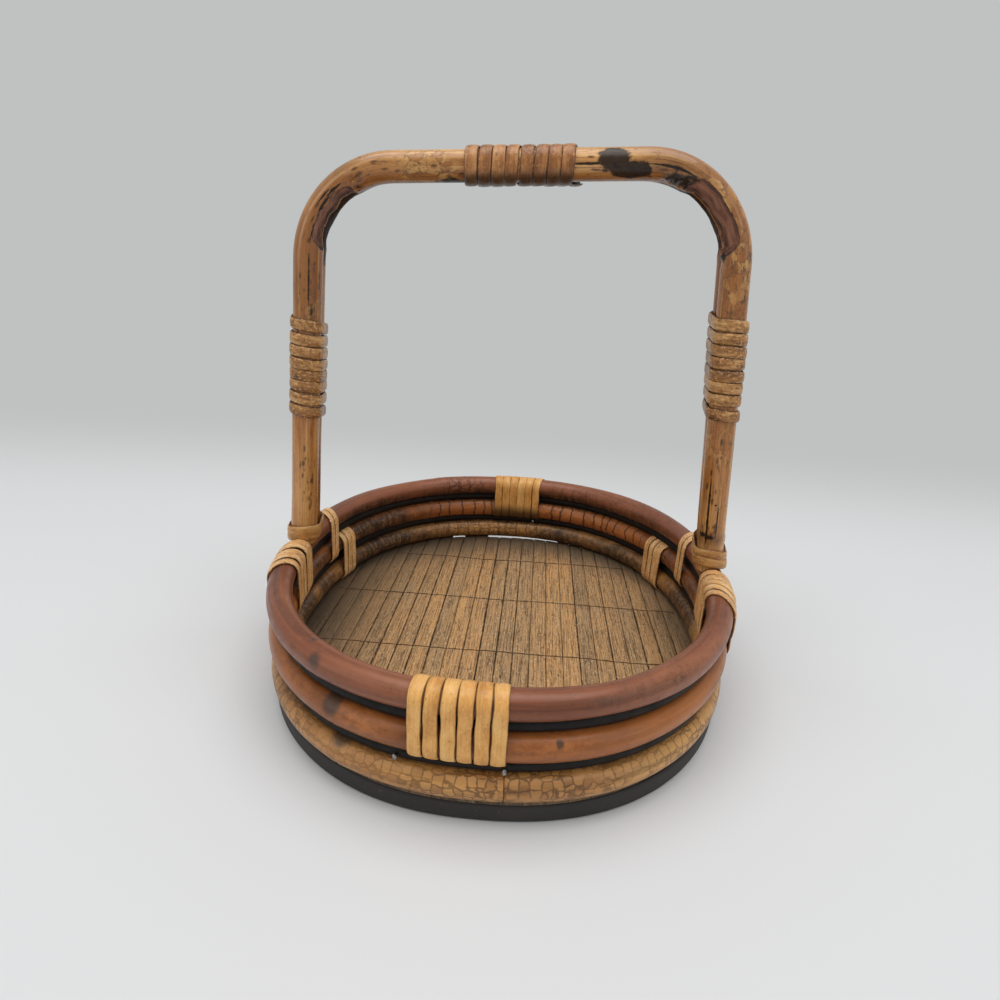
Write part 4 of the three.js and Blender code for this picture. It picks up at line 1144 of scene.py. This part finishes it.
def build_hoops():
    hoop(
        "upper_hoop",
        FRONT_BINDING,
        UPPER,
        cane_finish("cane_red_brown", [(108, 59, 36), (133, 77, 51), (152, 95, 66)], (5, 4)),
        11,
        nodes=[FRONT - 62 * MM, BACK + 49 * MM],
        stout=[(BACK - 75 * MM, 42 * MM, 0.08)],
        stain=near(FRONT, (-60, 60, 4, 5, 0.75), (-67, -4, 3, 3, 0.6)),
        # Glow here is a painted highlight along the hoop's top.
        glow=near(FRONT, (-30, 30, 26, 8, 0.5)) + near(BACK, (35, -20, 75, 9, 0.8), (-45, -35, 50, 7, 0.2)),
        rings=near(BACK, (34, INNER, 22, 9, 0.6), (-45, INNER, 45, 9, 0.42)),
        crackle=near(BACK, (-75, INNER, 60, 11, 0.4), (36, INNER, 16, 9, 0.9), (-60, 60, 70, 12, 0.4)),
        # Dusky marks: those at the back from 205 to 250 degrees are painted shade on the underside, over the
        # filler; those in front darken the outer face.
        dusk=near(BACK, (-20, 205, 150, 7, 0.75), (120, 230, 60, 7, 0.7), (-105, 250, 45, 7, 0.5))
        + near(FRONT, (60, 50, 60, 9, 0.4), (-25, 60, 16, 6, 0.34)),
    )
    hoop(
        "middle_hoop",
        BACK_BINDING,
        MIDDLE,
        cane_finish("cane_orange", [(107, 58, 28), (142, 81, 40), (178, 110, 57)], (6, 5), roughness=0.34),
        12,
        nodes=[FRONT - 53 * MM, BACK + 60 * MM],
        stain=near(FRONT, (-53, 30, 5, 7, 0.9), (-85, 60, 24, 12, 0.12), (26, 48, 1.4, 2.4, 1.0)),
        # Glow in front is partly paler patches and partly a painted highlight on the upper outer face; inside
        # at the back it is paler patches.
        glow=near(FRONT, (-40, 40, 14, 8, 0.9), (-80, 30, 26, 8, 0.7), (-112, 50, 20, 9, 0.6))
        + near(FRONT, (24, 40, 24, 8, 0.8), (70, 30, 30, 7, 0.6))
        + near(BACK, (-45, INNER, 50, 12, 0.9), (25, INNER, 25, 12, 0.6)),
        rings=near(BACK, (-35, INNER, 75, 14, 1.0), (30, INNER, 35, 14, 0.9)),
        crackle=near(BACK, (0, 60, 120, 12, 0.6)),
        # Dusky marks: at 0 and 190 degrees at the back they are painted shade on the top and underside,
        # between the hoops; on the inner face they are grime and soot.
        dusk=near(BACK, (112, INNER, 60, 14, 0.72), (-130, INNER, 30, 12, 0.5))
        + near(BACK, (0, 0, 130, 4, 0.7), (0, 190, 130, 4, 0.6))
        + near(RIGHT, (6, INNER, 24, 12, 0.6))
        + near(LEFT, (-4, INNER, 24, 12, 0.62)),
    )
    lower = cane_finish(
        "cane_tan",
        [(150, 100, 53), (185, 130, 71), (208, 157, 92)],
        (3.6, 3.3),
        gloss=0.25,
        line=(74, 46, 25),
        order=0.45,
        shake=0.4,
        deep=0.68,
        patch=0.28,
    )
    hoop(
        "lower_hoop",
        FRONT + LOWER_SEAM_X,
        LOWER,
        lower,
        13,
        nodes=[FRONT - 51 * MM, BACK + 30 * MM],
        stain=near(FRONT, (-51, 12, 6, 6, 0.8), (-66, 75, 5, 1.6, 0.5), (-75, 42, 4, 2, 0.55))
        + near(FRONT, (-92, 70, 3, 4, 0.5), (-104, 50, 5, 3, 0.45)),
        crackle=near(FRONT, (15, 60, 68, 16, 1.0), (105, 60, 60, 16, 0.9), (-85, 60, 34, 16, 0.75))
        + near(BACK, (0, INNER, 120, 14, 1.0)),
        rings=near(BACK, (10, INNER, 60, 12, 0.8)) + near(FRONT, (-95, 60, 30, 10, 0.5)),
        # Dusky marks: at 0 degrees at the back it is painted shade on the top, under the middle hoop; the
        # others darken the inner face and a place in front.
        dusk=near(BACK, (105, INNER, 60, 14, 0.8), (-85, INNER, 55, 14, 0.66), (-35, INNER, 32, 14, 0.62))
        + near(BACK, (0, 0, 130, 5, 0.65))
        + near(LEFT, (-12, INNER, 26, 14, 0.62), (16, INNER, 26, 14, 0.72))
        + near(RIGHT, (16, INNER, 38, 14, 0.8))
        + near(FRONT, (-92, 30, 26, 6, 0.4)),
    )
    # The fillers are coloured near black as painted shade, so that they read as the dark gaps between the
    # hoops.
    gap_shade_tones = [(14, 10, 9), (21, 15, 12), (34, 25, 19)]
    dark = cane_finish("cane_dark", gap_shade_tones, (8, 5), roughness=0.6, gloss=0.0)
    upper_windings = [
        (FRONT_BINDING, BINDING_TURNS),
        (BACK_BINDING, BINDING_TURNS),
        (LEFT_FRONT, FRONT_LASHING_TURNS),
        (RIGHT_FRONT, FRONT_LASHING_TURNS),
        (LEFT_REAR, REAR_LASHING_TURNS),
        (RIGHT_REAR, REAR_LASHING_TURNS),
    ]
    lower_windings = [(LEFT_LOWER, LEFT_LOWER_TURNS), (RIGHT_LOWER, RIGHT_LOWER_TURNS)]
    filler("lower_filler_cane", RIGHT, LOWER_FILLER, dark, upper_windings, 0)
    filler("upper_filler_cane", LEFT, UPPER_FILLER, dark, lower_windings, math.pi)


def up_left_leg(height):
    """Distance along the handle at a height in millimetres on its left leg."""
    return (height * MM - FOOT_HEIGHT) / math.cos(LEG_LEAN)


def up_right_leg(height):
    return handle_line.length - up_left_leg(height)


def wind_hoops():
    honey = peel_finish("honey_peel", [(197, 136, 68), (227, 167, 93), (240, 190, 116)], 0.15)
    dull = peel_finish("honey_peel_at_the_feet", [(190, 133, 78), (228, 176, 115), (243, 200, 142)], 0.75)
    canes = (HOOP_RADIUS, HOOP_PITCH)
    canes_behind = (HOOP_RADIUS, HOOP_PITCH - UPPER.dip + MIDDLE.dip)
    front = Wrap(STRIP_PITCH, 5.45 * MM, "out", square=0.95, pinch=0.08, jumble=0.14 * MM)
    behind = front._replace(face="in", lean=(-1.2 * MM, 0), shade=(0, -1))
    winding("front_binding", honey, 21, upper_pair, FRONT_BINDING, BINDING_TURNS, canes, front, inside=True)
    winding("back_binding", honey, 22, upper_pair, BACK_BINDING, BINDING_TURNS, canes_behind, behind)
    spread = Wrap(STRIP_PITCH, 5.1 * MM, "in", square=0.5, fan=0.14, jumble=0.9 * MM)
    tight = Wrap(4.5 * MM, 4.25 * MM, "in", square=0.6, jumble=0.5 * MM)
    left_front = spread._replace(fan=0.04, lean=(5.5 * MM, 2 * MM))
    right_front = spread._replace(lean=(-4 * MM, -4 * MM))
    left_rear = tight._replace(lean=(-3 * MM, -3 * MM))
    right_rear = tight._replace(lean=(3 * MM, 3 * MM))
    for name, seed, pair, middle, turns, wrap in (
        ("left_front_lashing", 23, upper_pair, LEFT_FRONT, FRONT_LASHING_TURNS, left_front),
        ("right_front_lashing", 24, upper_pair, RIGHT_FRONT, FRONT_LASHING_TURNS, right_front),
        ("left_rear_lashing", 25, upper_pair, LEFT_REAR, REAR_LASHING_TURNS, left_rear),
        ("right_rear_lashing", 26, upper_pair, RIGHT_REAR, REAR_LASHING_TURNS, right_rear),
        ("left_lower_lashing", 27, lower_pair, LEFT_LOWER, LEFT_LOWER_TURNS, tight),
        ("right_lower_lashing", 28, lower_pair, RIGHT_LOWER, RIGHT_LOWER_TURNS, tight),
    ):
        winding(name, dull, seed, pair, middle, turns, canes, wrap)


def wind_handle():
    brown = peel_finish("brown_peel", [(114, 73, 38), (165, 114, 63), (212, 164, 106)], 1.0)
    smooth = peel_finish("brown_peel_on_the_grip", [(132, 83, 44), (170, 112, 62), (200, 146, 90)], 0.6)
    tan = peel_finish("brown_peel_at_the_feet", [(160, 108, 58), (200, 148, 86), (218, 172, 110)], 0.5)
    canes = (FRONT_CANE_RADIUS, SEEN_SPACING)
    close = Wrap(5.2 * MM, 5.05 * MM, "front", jumble=0.42 * MM)
    grip = close._replace(pitch=5.55 * MM, width=5.4 * MM, shade=(-1, 0))
    left_leg = close._replace(ends=(2.4 * MM, 1.6 * MM))
    right_leg = close._replace(pitch=5.25 * MM, ends=(1.2 * MM, 1.4 * MM))
    band = Wrap(3 * MM, 4.6 * MM, "front", square=0.6, jumble=0.7 * MM, overlap=0.25 * MM)
    left_band = band._replace(lean=(-0.5 * MM, -1.1 * MM), saddle=-1.2 * MM)
    right_band = band._replace(pitch=4.4 * MM, lean=(0.2 * MM, 1.2 * MM), saddle=1.2 * MM)
    for name, peel, seed, middle, turns, wrap in (
        ("grip_binding", smooth, 31, GRIP_MIDDLE + 2 * MM, LEG_BINDING_TURNS, grip),
        ("left_leg_binding", brown, 32, up_left_leg(135), LEG_BINDING_TURNS, left_leg),
        ("right_leg_binding", brown, 33, up_right_leg(147.5), LEG_BINDING_TURNS, right_leg),
        ("left_foot_band", tan, 34, up_left_leg(56.8), FOOT_BAND_TURNS, left_band),
        ("right_foot_band", tan, 35, up_right_leg(60.4), FOOT_BAND_TURNS, right_band),
    ):
        winding(name, peel, seed, handle_frames, middle, turns, canes, wrap, inside=name == "grip_binding")


def specks(seed, count, place, around, half_length, half_width):
    """Small brown marks strewn about a place on a cane, over millimetres along it and degrees around it."""
    rng = np.random.default_rng(seed)
    marks = []
    for _ in range(count):
        along = place + half_length * MM * rng.uniform(-1, 1)
        turn = around + half_width * rng.uniform(-1, 1)
        size = rng.uniform(0.8, 3.0) * MM, rng.uniform(0.3, 0.9) * MM
        marks.append((along, turn, *size, rng.uniform(0.4, 0.9)))
    return marks


def build_handle():
    finish = handle_finish()
    bar, foot = GRIP_MIDDLE, handle_line.length
    left_low, left_high = LEFT_BEND
    right_high, right_low = RIGHT_BEND
    all_round = 40
    front_stains_and_shade = [
        *near(bar, (38, 165, 7, 6, 1.0), (45, 205, 9, 4, 1.0), (27, 180, 10, 0.6, 0.8)),
        # The last mark here, on the bar's underside near the grip, is painted shade; the other marks are
        # burns, dark lines and dark places of the cane.
        *near(bar, (62, 185, 16, 0.7, 0.8), (66, 225, 9, 4, 0.75), (-26, 250, 10, 4, 0.7)),
        *near(right_high, (17, 226, 7, 3.5, 0.7), (20, 196, 5, 0.8, 0.9)),
        *near(right_low, (-4, 262, 2.5, 4, 0.8)),
        *near(left_high, (-22, 218, 4, 4, 0.6), (-26, 178, 5, 0.6, 0.85), (-31, 166, 6, 0.5, 0.8)),
        *near(left_high, (-34, 184, 5, 0.7, 0.85), (-17, 222, 6, 3, 0.5)),
        # The first mark here, inside the left bend, is painted shade.
        *near(left_low, (26, 262, 20, 5, 0.4), (-8, 192, 20, 0.5, 0.7)),
        *near(left_low, (-22, 205, 7, 1.5, 0.55), (12, 190, 9, 0.5, 0.75)),
        *near(0, (44, 190, 3, 1.5, 0.45)),
        *near(foot, (-30, 208, 20, 0.55, 1.0), (-26, 168, 12, 0.5, 0.8), (-34, 180, 1, 1, 0.7)),
        *near(foot, (-19, 226, 2.2, 3, 0.62), (-18, 204, 2, 2, 0.56), (-18, 184, 1.8, 2.4, 0.54)),
    ]
    flecks = [
        *specks(61, 12, 26 * MM, 200, 9, 22),
        *specks(62, 8, 20 * MM, 204, 5, 26),
        *specks(63, 12, 42 * MM, 186, 10, 30),
        *specks(64, 16, bar + 30 * MM, 180, 9, 40),
        *specks(65, 26, bar - 45 * MM, 205, 24, 45),
        *specks(66, 22, left_low - 20 * MM, 195, 18, 45),
        *specks(71, 24, left_low + 30 * MM, 190, 24, 40),
        *specks(67, 22, right_low + 8 * MM, 180, 20, 50),
        *specks(68, 18, foot - 42 * MM, 190, 22, 50),
        *specks(69, 16, foot - 21 * MM, 205, 4, 40),
        *specks(70, 26, right_high + 4 * MM, 215, 12, 35),
    ]
    handle_cane(
        "front_handle_cane",
        -1,
        FRONT_CANE_RADIUS,
        finish,
        51,
        stain=front_stains_and_shade,
        fleck=flecks,
        flake=[
            *near(bar, (-36, 190, 14, 9, 0.8)),
            *near(right_low, (4, 170, 22, 8, 0.9)),
            *near(right_high, (34, 150, 20, 7, 0.6)),
            *near(foot, (-62, 180, 14, all_round, 0.45)),
            *near(left_low, (-20, 215, 14, 6, 0.5)),
        ],
        pale=[
            *near(0, (20, 180, 50, all_round, 1.0)),
            *near(foot, (-20, 180, 44, all_round, 0.9)),
            # A painted highlight along the bar's top edge.
            *near(bar, (0, 122, 80, 6, 1.2)),
        ],
        dim=[
            # Painted shade along the bar's underside.
            *near(bar, (0, 256, 100, 3.2, 1.0)),
            *near(left_low, (-4, 180, 34, all_round, 0.35)),
            *near(left_high, (-22, 120, 16, 5, 0.7)),
            *near(right_high, (12, 190, 14, 7, 0.7)),
            *near(foot, (-17, 200, 4, 12, 1.0)),
        ],
        knots=[
            (right_high + 15 * MM, 226, 8 * MM, 4 * MM, 2 * MM, 0.6 * MM),
            (right_low - 3 * MM, 250, 5 * MM, 4 * MM, 2 * MM, 0.5 * MM),
            (left_high - 20 * MM, 206, 8 * MM, 4 * MM, 1.8 * MM, 0.45 * MM),
        ],
    )
    rear_stains_and_shade = [
        *near(bar, (-50, 0, 8, 5, 0.8)),
        # These two marks, inside the bends, are painted shade on the rear cane's inner face.
        *near(right_high, (32, 262, 32, 7, 0.8)),
        *near(left_low, (26, 256, 32, 9, 1.0)),
    ]
    rear_flecks = specks(72, 70, foot / 2, 0, foot / 2 / MM, 90)
    handle_cane("rear_handle_cane", 1, REAR_CANE_RADIUS, finish, 52, stain=rear_stains_and_shade, fleck=rear_flecks)


def build_floor():
    slat = slat_finish()
    thread = thread_finish()
    for number in range(1, SLAT_COUNT + 1):
        floor_slat(number, slat)
    for number in range(1, THREAD_COUNT + 1):
        weft_thread(number, thread)


def build_board_and_nails():
    """The board, its nails and the brads. The foot nails, which nothing shows, keep the frame's shape."""
    plain = steel_finish("nail_steel", (150, 150, 148), 0.4)
    bright = steel_finish("bright_steel", (168, 170, 172), 0.32)
    places = []
    for end in ("left_front", "left_rear", "right_front", "right_rear"):
        places.append(box_middle(f"base_nail_{end}")[:2])
        base_nail(f"base_nail_{end}", plain)
        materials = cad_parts[f"foot_nail_{end}"].data.materials
        materials.clear()
        materials.append(plain)
    base_board(board_finish(), places)
    reach = winding_length(BINDING_TURNS) / 2
    brad("binding_brad_front_left", bright, FRONT_BINDING - reach - 2.6 * MM, 1)
    brad("binding_brad_front_right", bright, FRONT_BINDING + reach - 3 * MM, 1)
    brad("binding_brad_back", bright, BACK_BINDING - reach + 7.4 * MM, -1)


# Stage

FOCAL_PIXELS = 636.16
IMAGE_PIXELS = 1000
SENSOR_MM = 36
CAMERA_PITCH = math.radians(19.05)
CAMERA_ROLL = math.radians(-2.83)
OBJECT_TURN = math.radians(-2.94)
CAMERA_PLACE = np.array([-3.11, -293.24, 178.29]) * MM
CLIP_START = 0.01
FLOOR_REACH = 30.0
NEAR_FLOOR = srgb(224, 225, 226)
FAR_FLOOR = srgb(191, 194, 193)
SKY_LIGHT = 0.4


def build_camera():
    """Camera at the photograph's place: pitched down, rolled a little, and turned about the object."""
    forward = np.array([0, math.cos(CAMERA_PITCH), -math.sin(CAMERA_PITCH)])
    down = np.array([0, -math.sin(CAMERA_PITCH), -math.cos(CAMERA_PITCH)])
    right = np.array([1.0, 0, 0])
    rolled_right = math.cos(CAMERA_ROLL) * right + math.sin(CAMERA_ROLL) * down
    rolled_down = -math.sin(CAMERA_ROLL) * right + math.cos(CAMERA_ROLL) * down
    turn = np.array(Matrix.Rotation(OBJECT_TURN, 3, "Z")).T
    matrix = np.identity(4)
    matrix[:3] = turn @ np.column_stack([rolled_right, -rolled_down, -forward, CAMERA_PLACE])
    data = bpy.data.cameras.new("camera")
    data.sensor_width = SENSOR_MM
    data.lens = FOCAL_PIXELS / IMAGE_PIXELS * SENSOR_MM
    data.clip_start = CLIP_START
    camera = bpy.data.objects.new("camera", data)
    camera.matrix_world = Matrix(matrix.tolist())
    bpy.context.scene.collection.objects.link(camera)
    bpy.context.scene.camera = camera


def build_floor_stage():
    """Pale floor that takes the object's shadow nearby and fades to the backdrop's tone far off."""
    mesh = bpy.data.meshes.new("floor")
    corners = [(x * FLOOR_REACH, y * FLOOR_REACH, 0) for x, y in ((-1, -1), (1, -1), (1, 1), (-1, 1))]
    mesh.from_pydata(corners, [], [(0, 1, 2, 3)])
    f = Finish("floor")
    far = f.node("ShaderNodeVectorMath", {0: f.place(1, 1, 1)}, "Value", operation="LENGTH")
    behind = f.node("ShaderNodeSeparateXYZ", {0: f.place(1, 1, 1)}, "Y")
    wall = f.most(f.span(far, 0.5, 1.1), f.span(behind, 0.14, 0.5))
    f.finish(NEAR_FLOOR, 0.8, Specular_IOR_Level=0.1)
    glow = f.node("ShaderNodeEmission", {"Color": FAR_FLOOR, "Strength": 1.0})
    mixed = f.node("ShaderNodeMixShader", {0: wall, 1: f.shader.outputs[0], 2: glow})
    put(f.tree, f.tree.nodes["Material Output"].inputs["Surface"], mixed)
    mesh.materials.append(f.material)
    floor = bpy.data.objects.new("floor", mesh)
    bpy.context.scene.collection.objects.link(floor)


def softbox(name, place, target, size, watts):
    data = bpy.data.lights.new(name, "AREA")
    data.shape = "RECTANGLE"
    data.size, data.size_y = size
    data.energy = watts
    lamp = bpy.data.objects.new(name, data)
    lamp.location = place
    lamp.rotation_euler = (Vector(target) - Vector(place)).to_track_quat("-Z", "Y").to_euler()
    bpy.context.scene.collection.objects.link(lamp)


def build_world():
    """Even light from all round, and the backdrop's tone wherever the world itself is seen or mirrored."""
    world = bpy.data.worlds.new("studio")
    bpy.context.scene.world = world
    world.use_nodes = True
    tree = world.node_tree
    rays = tree.nodes.new("ShaderNodeLightPath").outputs
    mirrored = {0: rays["Is Glossy Ray"], 1: rays["Is Transmission Ray"]}
    mirrored = add_node(tree, "ShaderNodeMath", mirrored, operation="MAXIMUM")
    seen = add_node(tree, "ShaderNodeMath", {0: rays["Is Camera Ray"], 1: mirrored}, operation="MAXIMUM")
    tones = {0: seen, 6: (SKY_LIGHT, SKY_LIGHT, SKY_LIGHT, 1), 7: FAR_FLOOR}
    colour = add_node(tree, "ShaderNodeMix", tones, 2, data_type="RGBA")
    put(tree, tree.nodes["Background"].inputs["Color"], colour)


build_camera()
build_hoops()
wind_hoops()
wind_handle()
build_handle()
build_floor()
build_board_and_nails()
build_floor_stage()
build_world()
softbox("overhead", (0.0, -0.15, 1.3), (0, 0, 0.05), (1.4, 1.0), 11.5)
softbox("left_side", (-1.1, -0.7, 0.7), (0, 0, 0.1), (0.7, 1.0), 2.2)
softbox("right_side", (1.1, -0.7, 0.7), (0, 0, 0.1), (0.7, 1.0), 2.2)
bpy.context.scene.view_settings.view_transform = "Standard"
